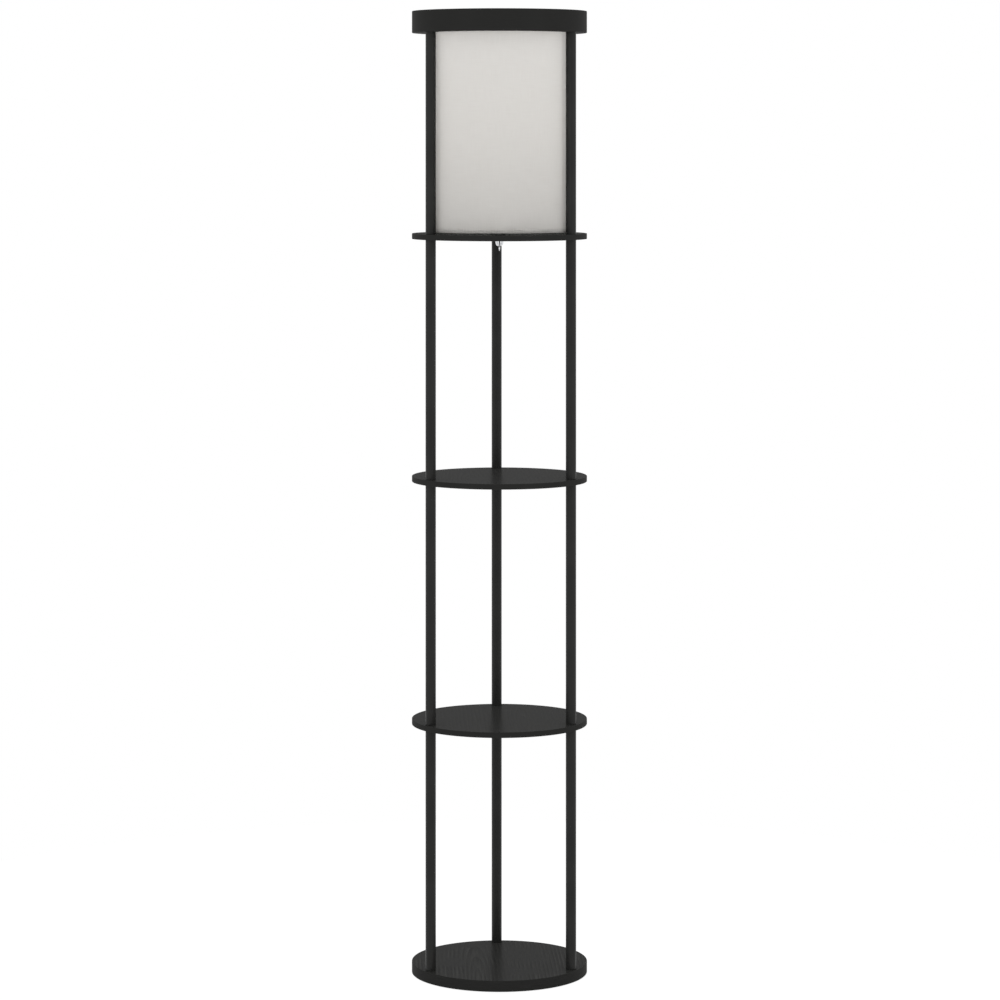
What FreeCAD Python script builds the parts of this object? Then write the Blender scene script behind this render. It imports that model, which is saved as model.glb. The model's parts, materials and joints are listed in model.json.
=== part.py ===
"""Shelf floor lamp: three round shelves and a top ring on three segmented round posts, with a drum
shade, a lampholder and a pull switch on the highest shelf.

Millimetres.  The origin is the middle of the underside, +Z is up, the single rear post stands on +Y
and the front faces -Y.
"""
import FreeCAD, Part
import os
import re

import Sketcher
from FreeCAD import Vector

# Driving sizes: every one is a cell of the sheet, and every piece below is bound to those cells.
SIZES = {
    # round boards and the ring that closes the top
    "board_radius": 145.0,
    "base_thickness": 18.0,
    "shelf_thickness": 9.0,
    "ring_height": 36.0,
    "ring_lip": 0.8,
    "edge_ease": 0.6,
    # posts, in one length per tier
    "post_radius": 8.5,
    "post_wall": 1.2,
    "post_edge": 3.7,
    "tier_rise": 392.5,
    "lamp_tier_rise": 332.0,
    "insert_length": 22.0,
    "seat_clearance": 0.05,
    # bolts and studs that hold the posts to the boards
    "stud_radius": 3.0,
    "stud_grip": 14.0,
    "thread_clearance": 0.08,
    "stud_hole_clearance": 0.4,
    "bolt_head_radius": 5.0,
    "bolt_head_height": 4.5,
    "key_circumradius": 2.9,
    "key_depth": 2.8,
    "washer_radius": 6.2,
    "washer_thickness": 1.2,
    "well_clearance": 0.4,
    "base_well_depth": 8.0,
    "ring_well_depth": 14.0,
    "plug_height": 3.0,
    "plug_clearance": 0.1,
    # felt pads under the base
    "pad_radius": 9.0,
    "pad_thickness": 1.5,
    "pad_inset": 17.0,
    # drum shade
    "shade_side_gap": 1.5,
    "shade_lift": 3.0,
    "shade_lap": 6.0,
    "fabric_thickness": 0.8,
    "liner_thickness": 0.4,
    "liner_setback": 1.0,
    "hoop_wire": 1.5,
    "arm_wire": 1.3,
    "hoop_clearance": 0.2,
    "hoop_setback": 2.0,
    # pull switch under and on the lamp shelf
    "switch_radius": 11.0,
    "switch_wall": 1.2,
    "switch_floor": 2.0,
    "lid_thickness": 2.0,
    "lid_plug": 1.5,
    "lid_clearance": 0.1,
    "neck_radius": 5.0,
    "neck_bore": 2.2,
    "neck_drop": 8.0,
    "neck_flange_reach": 2.5,
    "neck_flange": 1.0,
    "neck_hole_clearance": 0.3,
    "dome_radius": 7.0,
    "dome_rim": 3.0,
    "dome_drop": 12.0,
    "dome_mouth": 2.6,
    "dome_lip": 0.9,
    "spring_radius": 5.0,
    "spring_wire": 0.45,
    "spring_rise": 14.0,
    "spring_turns": 5.0,
    "spring_play": 0.3,
    "slider_clearance": 1.2,
    "slider_thickness": 3.0,
    "stop_radius": 2.0,
    "stop_height": 2.0,
    "stop_gap": 0.3,
    "contact_room": 1.8,
    "rotor_thickness": 2.2,
    "rotor_play": 0.4,
    "rotor_slot": 3.0,
    "pin_radius": 1.5,
    "pin_clearance": 0.05,
    "pin_head_radius": 2.6,
    "pin_head": 0.6,
    "blade_gap": 0.35,
    "blade_thickness": 1.2,
    "blade_width": 4.0,
    # bead chain and its end weight
    "bead_radius": 1.0,
    "bead_spacing": 2.8,
    "link_radius": 0.35,
    "chain_clearance": 0.35,
    "tip_gap": 0.4,
    "tip_collar": 1.3,
    "tip_mouth": 0.75,
    "tip_neck": 1.2,
    "tip_shoulder": 1.55,
    "tip_radius": 1.65,
    "tip_belly": 4.6,
    "tip_length": 6.7,
    "socket_play": 0.25,
    # bridge that carries the lampholder over the switch
    "bridge_headroom": 20.0,
    "bridge_side_gap": 5.0,
    "bridge_width": 16.0,
    "bridge_thickness": 2.0,
    "bridge_foot": 16.0,
    "bridge_screw_radius": 2.0,
    "bridge_screw_length": 8.0,
    "bridge_screw_head": 3.8,
    "bridge_screw_head_height": 2.2,
    "screw_clearance": 0.3,
    # hollow threaded rod and its nut
    "rod_radius": 5.0,
    "rod_wall": 1.6,
    "rod_below": 8.0,
    "rod_above": 12.0,
    "nut_wall": 3.0,
    "nut_thickness": 4.0,
    # lampholder
    "cap_foot_radius": 9.5,
    "cap_rise": 16.0,
    "cap_wall": 2.0,
    "holder_rise": 38.0,
    "holder_wall": 3.0,
    "holder_floor": 3.0,
    "collar_reach": 5.0,
    "collar_level": 12.0,
    "collar_thickness": 2.0,
    "shell_play": 1.2,
    "shell_wall": 0.7,
    "shell_room": 0.9,
    "shell_rise": 30.0,
    "leaf_length": 12.0,
    "leaf_width": 5.0,
    "leaf_thickness": 1.5,
    "clamp_reach": 6.0,
    "clamp_thickness": 6.0,
    "fitter_width": 9.5,
    "fitter_thickness": 1.6,
    "fitter_clearance": 0.4,
    # terminal screws in the holder cap
    "terminal_radius": 1.6,
    "terminal_length": 4.0,
    # bulb
    "bulb_gap": 0.3,
    "bulb_contact_radius": 4.5,
    "bulb_contact_rise": 1.8,
    "bulb_cap_radius": 13.2,
    "bulb_cap_rise": 26.0,
    "bulb_cap_wall": 0.8,
    "bulb_neck_step": 1.1,
    "bulb_neck_rise": 7.0,
    "bulb_collar_radius": 27.0,
    "bulb_collar_rise": 34.0,
    "bulb_wall": 1.2,
    "bulb_globe_rise": 44.0,
    "bulb_globe_radius": 30.0,
    # grommet where a cord would pass through the lamp shelf
    "grommet_inset": 24.0,
    "grommet_bore": 3.5,
    "grommet_body": 6.0,
    "grommet_flange": 8.5,
    "grommet_flange_thickness": 1.8,
    "grommet_clearance": 0.15,
    # lead between the switch and the lampholder
    "lead_radius": 1.1,
    "lead_hole_clearance": 0.2,
    "lead_place": 5.5,
    "lead_rise": 2.0,
    "lead_entry": 2.0,
}

# Levels and radii that follow from the driving sizes, as formulas in the same sheet.
LEVELS = {
    "base_top": "pad_thickness + base_thickness",
    "lower_bottom": "base_top + tier_rise",
    "lower_top": "lower_bottom + shelf_thickness",
    "middle_bottom": "lower_top + tier_rise",
    "middle_top": "middle_bottom + shelf_thickness",
    "lamp_bottom": "middle_top + tier_rise",
    "lamp_top": "lamp_bottom + shelf_thickness",
    "ring_bottom": "lamp_top + lamp_tier_rise",
    "ring_top": "ring_bottom + ring_height",
    "post_circle": "board_radius - post_edge - post_radius",
    "ring_opening_radius": "post_circle - post_radius - ring_lip",
    "insert_radius": "post_radius - post_wall - seat_clearance",
    "stud_hole": "stud_radius + stud_hole_clearance",
    "bolt_well_radius": "washer_radius + well_clearance",
    "pad_circle": "board_radius - pad_inset",
    "shade_radius": "ring_opening_radius - shade_side_gap",
    "shade_bottom": "lamp_top + shade_lift",
    "shade_top": "ring_bottom + shade_lap",
    "shade_inner": "shade_radius - fabric_thickness",
    "liner_inner": "shade_inner - liner_thickness",
    "hoop_radius": "liner_inner - hoop_wire - hoop_clearance",
    "low_hoop": "shade_bottom + hoop_setback + hoop_wire",
    "high_hoop": "shade_top - hoop_setback - hoop_wire",
    "switch_inner": "switch_radius - switch_wall",
    "switch_floor_top": "lamp_top + switch_floor",
    "neck_flange_radius": "neck_radius + neck_flange_reach",
    "neck_bottom": "lamp_bottom - neck_drop",
    "neck_top": "switch_floor_top + neck_flange",
    "dome_bottom": "lamp_bottom - dome_drop",
    "spring_bottom": "neck_top + spring_play",
    "slider_bottom": "spring_bottom + spring_rise + spring_play",
    "slider_top": "slider_bottom + slider_thickness",
    "slider_radius": "switch_inner - slider_clearance",
    "rotor_bottom": "slider_top + stop_height + stop_gap + pin_head + rotor_play",
    "rotor_top": "rotor_bottom + rotor_thickness",
    "rotor_radius": "switch_inner - contact_room",
    "switch_top": "rotor_top + rotor_play + lid_plug",
    "last_bead": "dome_bottom - tip_gap - tip_collar",
    "bead_socket": "bead_radius + socket_play",
    "bridge_under": "switch_top + lid_thickness + bridge_headroom",
    "bridge_top": "bridge_under + bridge_thickness",
    "bridge_reach": "switch_radius + bridge_side_gap + bridge_thickness",
    "rod_bore": "rod_radius - rod_wall",
    "rod_bottom": "bridge_under - rod_below",
    "cap_top": "bridge_top + cap_rise",
    "holder_top": "cap_top + holder_rise",
    "shell_radius": "bulb_cap_radius + shell_play",
    "holder_inner": "shell_radius + shell_wall + shell_room",
    "holder_radius": "holder_inner + holder_wall",
    "collar_radius": "holder_radius + collar_reach",
    "clamp_radius": "holder_radius + clamp_reach",
    "leaf_bottom": "cap_top + holder_floor",
    "leaf_top": "leaf_bottom + leaf_thickness",
    "collar_bottom": "cap_top + collar_level",
    "collar_top": "collar_bottom + collar_thickness",
    "clamp_bottom": "collar_top + fitter_thickness",
    "bulb_bottom": "leaf_top + bulb_gap",
    "bulb_cap_bottom": "bulb_bottom + bulb_contact_rise",
    "bulb_cap_top": "bulb_cap_bottom + bulb_cap_rise",
    "bulb_neck_radius": "bulb_cap_radius + bulb_neck_step",
    "bulb_collar_top": "bulb_cap_top + bulb_collar_rise",
    "bulb_top": "bulb_collar_top + bulb_globe_rise",
    "grommet_place": "shade_radius - grommet_inset",
}

POST_ANGLES = {"back": 90, "left": 210, "right": 330}
SPIDER_ANGLES = (30, 150, 270)
PAD_ANGLES = (0, 60, 120, 180, 240, 300)
TIERS = (
    ("base_top", "tier_rise"),
    ("lower_top", "tier_rise"),
    ("middle_top", "tier_rise"),
    ("lamp_top", "lamp_tier_rise"),
)

# The numbers by which a sketch knows the points of an edge and its own two axes.
START_INDEX, END_INDEX, CENTRE_INDEX = 1, 2, 3
ACROSS_INDEX, UPRIGHT_INDEX = -1, -2
EDGE_DIRECTION = (START_INDEX, END_INDEX)

doc = FreeCAD.newDocument("shelf_floor_lamp")
sheet = doc.addObject("Spreadsheet::Sheet", "Sizes")
nodes = []


# ---------------------------------------------------------------- the sheet and its formulas

def fill_sheet():
    """Writes the driving sizes as plain numbers and the levels as formulas, each with an alias."""
    rows = [(alias, str(number)) for alias, number in SIZES.items()]
    rows += [(alias, "=" + formula) for alias, formula in LEVELS.items()]
    for row, (alias, content) in enumerate(rows, start=1):
        sheet.set("A%d" % row, alias)
        sheet.set("B%d" % row, content)
        sheet.setAlias("B%d" % row, alias)
    doc.recompute()


def cells(formula):
    """The formula with each alias pointed at its cell of the sheet."""
    def point(word):
        alias = word.group()
        return "Sizes." + alias if alias in SIZES or alias in LEVELS else alias
    return re.sub(r"[a-z_]+", point, formula)


def value(formula):
    """The number that a formula of aliases has now."""
    return float(sheet.evalExpression(cells(formula)))


def bind(thing, **formulas):
    """Ties properties to the sheet; x, y and z stand for the place of the object."""
    places = {"x": "Placement.Base.x", "y": "Placement.Base.y", "z": "Placement.Base.z"}
    for prop, formula in formulas.items():
        thing.setExpression(places.get(prop, prop), cells(formula))
    return thing


# ---------------------------------------------------------------- ways of making a piece

def primitive(kind, name, **formulas):
    return bind(doc.addObject("Part::" + kind, name), **formulas)


def rod(name, radius, height, z, x="0", y="0"):
    return primitive("Cylinder", name, Radius=radius, Height=height, x=x, y=y, z=z)


def block(name, x, y, z, size_x, size_y, size_z):
    """A box by its lowest corner and its three sizes."""
    return primitive("Box", name, Length=size_x, Width=size_y, Height=size_z, x=x, y=y, z=z)


def hexagon(name, circumradius, height, z, x="0", y="0"):
    prism = primitive("Prism", name, Circumradius=circumradius, Height=height, x=x, y=y, z=z)
    prism.Polygon = 6
    return prism


def group(name, pieces):
    compound = doc.addObject("Part::Compound", name)
    compound.Links = pieces
    return compound


def fuse(name, pieces):
    joined = doc.addObject("Part::MultiFuse", name)
    joined.Shapes = pieces
    return joined


def cut(name, base, tool):
    less = doc.addObject("Part::Cut", name)
    less.Base = base
    less.Tool = tool
    return less


def around(name, make, circle, angles, levels, **formulas):
    """Copies of one primitive round the lamp's axis, at each angle and level, as one compound."""
    pieces = []
    for level in levels:
        for angle in angles:
            x = "%s * cos(%d)" % (circle, angle)
            y = "%s * sin(%d)" % (circle, angle)
            pieces.append(make("%s_%d" % (name, len(pieces) + 1), z=level, x=x, y=y, **formulas))
    return group(name, pieces)


def at_posts(name, radius, height, *levels):
    return around(name, rod, "post_circle", POST_ANGLES.values(), levels, radius=radius, height=height)


def new_sketch(body, name, plane_role):
    sketch = body.newObject("Sketcher::SketchObject", name)
    plane = [part for part in body.Origin.OriginFeatures if part.Role == plane_role][0]
    sketch.AttachmentSupport = [(plane, "")]
    sketch.MapMode = "FlatFace"
    return sketch


def axis_arc(start, end):
    """An arc between two corners about a centre on the sketch's upright axis, and which of its
    points lie at the first and the second corner."""
    height = (end.Length ** 2 - start.Length ** 2) / (2 * (end.y - start.y))
    centre = Vector(0, height, 0)
    circle = Part.Circle(centre, Vector(0, 0, 1), (start - centre).Length)
    upwards = end.y > start.y
    first, last = (start, end) if upwards else (end, start)
    arc = Part.ArcOfCircle(circle, circle.parameter(first), circle.parameter(last))
    return arc, EDGE_DIRECTION if upwards else EDGE_DIRECTION[::-1]


def turned(name, outline, arcs=()):
    """A body spun round the lamp's axis from corners given as (radius, level) formulas.  An edge
    whose number is in arcs is round, about a centre on the axis."""
    body = doc.addObject("PartDesign::Body", name)
    sketch = new_sketch(body, name + "_outline", "XZ_Plane")
    corners = [Vector(value(radius), value(level), 0) for radius, level in outline]
    ends = []
    for edge, start in enumerate(corners):
        end = corners[(edge + 1) % len(corners)]
        shape, points = Part.LineSegment(start, end), EDGE_DIRECTION
        if edge in arcs:
            shape, points = axis_arc(start, end)
        sketch.addGeometry(shape)
        ends.append(points)
    for edge, (first, last) in enumerate(ends):
        following = (edge + 1) % len(ends)
        sketch.addConstraint(Sketcher.Constraint("Coincident", edge, last, following, ends[following][0]))
        if edge in arcs:
            sketch.addConstraint(Sketcher.Constraint("PointOnObject", edge, CENTRE_INDEX, UPRIGHT_INDEX))
    for edge, (radius, level) in enumerate(outline):
        point = ends[edge][0]
        if radius == "0":
            sketch.addConstraint(Sketcher.Constraint("PointOnObject", edge, point, UPRIGHT_INDEX))
        else:
            place(sketch, "DistanceX", edge, point, radius)
        place(sketch, "DistanceY", edge, point, level)
    spin = body.newObject("PartDesign::Revolution", name + "_spin")
    spin.Profile = sketch
    spin.ReferenceAxis = (sketch, ["V_Axis"])
    spin.Angle = 360
    body.Tip = spin
    return body


def place(sketch, kind, edge, point, formula):
    """Holds a point of a sketch at a distance from the origin that a formula gives."""
    number = sketch.addConstraint(Sketcher.Constraint(kind, edge, point, value(formula)))
    sketch.setExpression("Constraints[%d]" % number, cells(formula))


def drill(body, name, radius, top, depth, across="0", along="0", copies=1):
    """A round hole cut downwards from a level, repeated round the axis of the body."""
    doc.recompute()
    before = body.Shape.Volume
    sketch = new_sketch(body, name + "_outline", "XY_Plane")
    sketch.setExpression("AttachmentOffset.Base.z", cells(top))
    centre = Vector(value(across), value(along), 0)
    circle = sketch.addGeometry(Part.Circle(centre, Vector(0, 0, 1), value(radius)))
    for kind, axis, formula in (("DistanceX", UPRIGHT_INDEX, across), ("DistanceY", ACROSS_INDEX, along)):
        if formula == "0":
            sketch.addConstraint(Sketcher.Constraint("PointOnObject", circle, CENTRE_INDEX, axis))
        else:
            place(sketch, kind, circle, CENTRE_INDEX, formula)
    ring = sketch.addConstraint(Sketcher.Constraint("Radius", circle, value(radius)))
    sketch.setExpression("Constraints[%d]" % ring, cells(radius))
    pocket = body.newObject("PartDesign::Pocket", name)
    pocket.Profile = sketch
    pocket.setExpression("Length", cells(depth))
    body.Tip = pocket
    if copies > 1:
        pattern = body.newObject("PartDesign::PolarPattern", name + "_pattern")
        pattern.Originals = [pocket]
        pattern.Axis = (sketch, ["N_Axis"])
        pattern.Angle = 360
        pattern.Occurrences = copies
        body.Tip = pattern
    doc.recompute()
    if not body.Shape.Volume < before:
        raise RuntimeError("the hole %s cuts nothing" % name)


def node(label, piece):
    """Gives a finished piece its name and puts it on the list that is written out."""
    piece.Label = label
    nodes.append(piece)
    return piece


# ---------------------------------------------------------------- boards and posts

def board(name, bottom, top):
    """A round board with eased edges."""
    return turned(name, (
        ("0", bottom),
        ("board_radius - edge_ease", bottom),
        ("board_radius", bottom + " + edge_ease"),
        ("board_radius", top + " - edge_ease"),
        ("board_radius - edge_ease", top),
        ("0", top),
    ))


def drill_posts(body, name, radius, top, depth):
    drill(body, name, radius, top, depth, along="post_circle", copies=len(POST_ANGLES))


def make_base():
    base = board("base_board", "pad_thickness", "base_top")
    drill_posts(base, "base_holes", "stud_hole", "base_top", "base_thickness")
    drill_posts(base, "base_wells", "bolt_well_radius", "pad_thickness + base_well_depth", "base_well_depth")
    node("base_board", base)
    pads = around("felt_pads_ring", rod, "pad_circle", PAD_ANGLES, ["0"],
                  radius="pad_radius", height="pad_thickness")
    node("felt_pads", pads)


def make_shelves():
    for name in ("lower", "middle", "lamp"):
        shelf = board(name + "_shelf", name + "_bottom", name + "_top")
        drill_posts(shelf, name + "_stud_holes", "stud_hole", name + "_top", "shelf_thickness")
        if name == "lamp":
            drill(shelf, "neck_hole", "neck_radius + neck_hole_clearance", "lamp_top", "shelf_thickness")
            drill(shelf, "grommet_hole", "grommet_body + grommet_clearance", "lamp_top",
                  "shelf_thickness", along="grommet_place")
        node(name + "_shelf", shelf)


def make_ring():
    ring = turned("top_ring", (
        ("ring_opening_radius + edge_ease", "ring_bottom"),
        ("board_radius - edge_ease", "ring_bottom"),
        ("board_radius", "ring_bottom + edge_ease"),
        ("board_radius", "ring_top - edge_ease"),
        ("board_radius - edge_ease", "ring_top"),
        ("ring_opening_radius + edge_ease", "ring_top"),
        ("ring_opening_radius", "ring_top - edge_ease"),
        ("ring_opening_radius", "ring_bottom + edge_ease"),
    ))
    drill_posts(ring, "ring_holes", "stud_hole", "ring_top", "ring_height")
    drill_posts(ring, "ring_wells", "bolt_well_radius", "ring_top", "ring_well_depth")
    node("top_ring", ring)


def make_posts():
    """Steel tubes, one per side and tier, with a threaded insert pressed into both ends."""
    for tier, (level, rise) in enumerate(TIERS, start=1):
        for side, angle in POST_ANGLES.items():
            name = "post_%s_%d" % (side, tier)
            x = "post_circle * cos(%d)" % angle
            y = "post_circle * sin(%d)" % angle
            tube = rod(name + "_outside", "post_radius", rise, level, x, y)
            bore = rod(name + "_bore", "post_radius - post_wall", rise, level, x, y)
            node(name, cut(name + "_tube", tube, bore))
        name = "post_inserts_%d" % tier
        levels = (level, level + " + " + rise + " - insert_length")
        solid = at_posts(name + "_solid", "insert_radius", "insert_length", *levels)
        thread = at_posts(name + "_thread", "stud_radius + thread_clearance", "insert_length", *levels)
        node(name, cut(name + "_bored", solid, thread))


def make_fasteners():
    """Studs through the shelves; bolts with washers in wells in the base and the ring; plugs."""
    for name in ("lower", "middle", "lamp"):
        node(name + "_shelf_studs", at_posts(name + "_studs_ring", "stud_radius",
                                             "shelf_thickness + 2 * stud_grip", name + "_bottom - stud_grip"))
    base_seat = "pad_thickness + base_well_depth"
    ring_seat = "ring_top - ring_well_depth"
    node("base_bolts", bolts(
        "base_bolt", base_seat + " - washer_thickness - bolt_head_height",
        base_seat + " - washer_thickness", "base_top + stud_grip",
        base_seat + " - washer_thickness - bolt_head_height"))
    node("top_bolts", bolts(
        "top_bolt", ring_seat + " + washer_thickness", "ring_bottom - stud_grip",
        ring_seat + " + washer_thickness",
        ring_seat + " + washer_thickness + bolt_head_height - key_depth"))
    levels = (base_seat + " - washer_thickness", ring_seat)
    washers = at_posts("washers_solid", "washer_radius", "washer_thickness", *levels)
    holes = at_posts("washers_hole", "stud_hole", "washer_thickness", *levels)
    node("bolt_washers", cut("washers_bored", washers, holes))
    node("top_plugs", at_posts("top_plugs_ring", "bolt_well_radius - plug_clearance", "plug_height",
                               "ring_top - plug_height"))


def bolts(name, head_bottom, shank_bottom, shank_top, key_bottom):
    """Three socket-head bolts on the post circle."""
    heads = at_posts(name + "_heads", "bolt_head_radius", "bolt_head_height", head_bottom)
    shanks = at_posts(name + "_shanks", "stud_radius", "(%s) - (%s)" % (shank_top, shank_bottom), shank_bottom)
    keys = around(name + "_keys", hexagon, "post_circle", POST_ANGLES.values(), [key_bottom],
                  circumradius="key_circumradius", height="key_depth")
    return cut(name + "_cut", fuse(name + "_solid", [heads, shanks]), keys)


# ---------------------------------------------------------------- shade

def sleeve(name, outer, inner, bottom, top):
    return turned(name, ((inner, bottom), (outer, bottom), (outer, top), (inner, top)))


def spider_arm(angle):
    """A straight wire from the fitter ring down and out to the low hoop."""
    start = "(holder_radius + fitter_clearance + fitter_width - arm_wire)"
    drop = "(collar_top + fitter_thickness / 2 - low_hoop)"
    reach = "(hoop_radius - %s)" % start
    arm = rod("spider_arm_%d" % angle, "arm_wire", "sqrt(%s ^ 2 + %s ^ 2)" % (reach, drop),
              "low_hoop", "hoop_radius * cos(%d)" % angle, "hoop_radius * sin(%d)" % angle)
    across = Vector(0, 0, 1).cross(FreeCAD.Rotation(Vector(0, 0, 1), angle).multVec(Vector(-1, 0, 0)))
    arm.Placement.Rotation = FreeCAD.Rotation(across, 1)
    arm.setExpression("Placement.Rotation.Angle", cells("atan2(%s; %s)" % (reach, drop)))
    return arm


def make_shade():
    node("shade_fabric", sleeve("shade_fabric", "shade_radius", "shade_inner", "shade_bottom", "shade_top"))
    node("shade_liner", sleeve("shade_liner", "shade_inner", "liner_inner",
                               "shade_bottom + liner_setback", "shade_top - liner_setback"))
    node("shade_top_hoop", primitive("Torus", "high_hoop_wire", Radius1="hoop_radius",
                                     Radius2="hoop_wire", z="high_hoop"))
    low = primitive("Torus", "low_hoop_wire", Radius1="hoop_radius", Radius2="hoop_wire", z="low_hoop")
    inner = "holder_radius + fitter_clearance"
    fitter = sleeve("fitter_ring", inner + " + fitter_width", inner, "collar_top", "clamp_bottom")
    arms = [spider_arm(angle) for angle in SPIDER_ANGLES]
    node("shade_frame", fuse("shade_frame_fused", [low, fitter] + arms))


# ---------------------------------------------------------------- pull switch, chain and end weight

def make_switch_case():
    hole = "neck_radius + thread_clearance"
    node("switch_housing", turned("switch_housing", (
        (hole, "lamp_top"),
        ("switch_radius", "lamp_top"),
        ("switch_radius", "switch_top"),
        ("switch_inner", "switch_top"),
        ("switch_inner", "switch_floor_top"),
        (hole, "switch_floor_top"),
    )))
    node("switch_neck", turned("switch_neck", (
        ("neck_bore", "neck_bottom"),
        ("neck_radius", "neck_bottom"),
        ("neck_radius", "switch_floor_top"),
        ("neck_flange_radius", "switch_floor_top"),
        ("neck_flange_radius", "neck_top"),
        ("neck_bore", "neck_top"),
    )))
    lid = turned("switch_lid", (
        ("0", "rotor_bottom - pin_head - rotor_play"),
        ("pin_head_radius", "rotor_bottom - pin_head - rotor_play"),
        ("pin_head_radius", "rotor_bottom - rotor_play"),
        ("pin_radius", "rotor_bottom - rotor_play"),
        ("pin_radius", "switch_top - lid_plug"),
        ("switch_inner - lid_clearance", "switch_top - lid_plug"),
        ("switch_inner - lid_clearance", "switch_top"),
        ("switch_radius", "switch_top"),
        ("switch_radius", "switch_top + lid_thickness"),
        ("0", "switch_top + lid_thickness"),
    ))
    drill(lid, "lead_hole", "lead_radius + lead_hole_clearance", "switch_top + lid_thickness",
          "lid_thickness + lid_plug", across="lead_place")
    node("switch_lid", lid)


def make_dome_nut():
    """Polished nut that clamps the neck under the lamp shelf and ends in the chain's mouth."""
    thread = "neck_radius + thread_clearance"
    node("switch_dome_nut", turned("switch_dome_nut", (
        (thread, "lamp_bottom"),
        ("dome_radius", "lamp_bottom"),
        ("dome_radius", "lamp_bottom - dome_rim"),
        ("dome_mouth + dome_lip", "dome_bottom"),
        ("dome_mouth", "dome_bottom"),
        ("dome_mouth", "neck_bottom - thread_clearance"),
        (thread, "neck_bottom - thread_clearance"),
    ), arcs=(2,)))


def make_switch_works():
    """Slider on the chain, its return spring, the stepping rotor and the two contact blades."""
    node("switch_slider", sleeve("switch_slider", "slider_radius", "bead_radius + chain_clearance",
                                 "slider_bottom", "slider_top"))
    node("switch_spring", coil_spring())
    disc = sleeve("rotor_disc", "rotor_radius", "pin_radius + pin_clearance", "rotor_bottom", "rotor_top")
    slots = [rod("rotor_slot_%d" % side, "rotor_slot / 2", "rotor_thickness", "rotor_bottom",
                 x="%d * rotor_radius" % side) for side in (-1, 1)]
    node("switch_rotor", cut("rotor_notched", disc, group("rotor_slots", slots)))
    edge = "rotor_radius + blade_gap"
    blades = [block("blade_%s" % name, "-blade_width / 2", y, "rotor_bottom - rotor_play",
                    "blade_width", "blade_thickness", "rotor_thickness + 2 * rotor_play")
              for name, y in (("back", edge), ("front", "-(%s) - blade_thickness" % edge))]
    room = sleeve("blade_room", "2 * switch_radius", "switch_inner - seat_clearance",
                  "slider_top", "switch_top")
    node("switch_contacts", cut("switch_contacts_trimmed", group("blades", blades), room))


def coil_spring():
    """A round wire on a helix round the chain.  The helix comes from the sheet's numbers here."""
    rise = value("spring_rise - 2 * spring_wire")
    pitch = rise / value("spring_turns")
    helix = Part.makeHelix(pitch, rise, value("spring_radius"))
    wire = Part.Wire(helix.Edges)
    start = Vector(value("spring_radius"), 0, 0)
    section = Part.Wire(Part.makeCircle(value("spring_wire"), start, Vector(0, 1, 0)))
    spring = doc.addObject("Part::Feature", "switch_spring_wire")
    spring.Shape = wire.makePipeShell([section], True, True)
    return bind(spring, z="spring_bottom + spring_wire")


def make_chain():
    """Bead chain from the stop on the slider down to the last bead, and its end weight."""
    top = value("slider_top")
    beads = []
    level = value("last_bead")
    while level < top:
        formula = "last_bead + %d * bead_spacing" % len(beads)
        beads.append(primitive("Sphere", "bead_%d" % (len(beads) + 1), Radius="bead_radius", z=formula))
        level += value("bead_spacing")
    link = rod("chain_links", "link_radius", "slider_top - last_bead", "last_bead")
    stop = rod("chain_stop", "stop_radius", "stop_height", "slider_top")
    node("pull_chain", fuse("pull_chain_fused", beads + [link, stop]))
    node("pull_tip", turned("pull_tip", (
        ("tip_mouth", "last_bead + tip_collar"),
        ("tip_mouth", "last_bead + sqrt(bead_socket ^ 2 - tip_mouth ^ 2)"),
        ("0", "last_bead - bead_socket"),
        ("0", "last_bead - tip_length"),
        ("tip_radius", "last_bead - tip_belly"),
        ("tip_shoulder", "last_bead"),
        ("tip_neck", "last_bead + tip_collar"),
    ), arcs=(1, 3)))


# ---------------------------------------------------------------- lampholder

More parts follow.
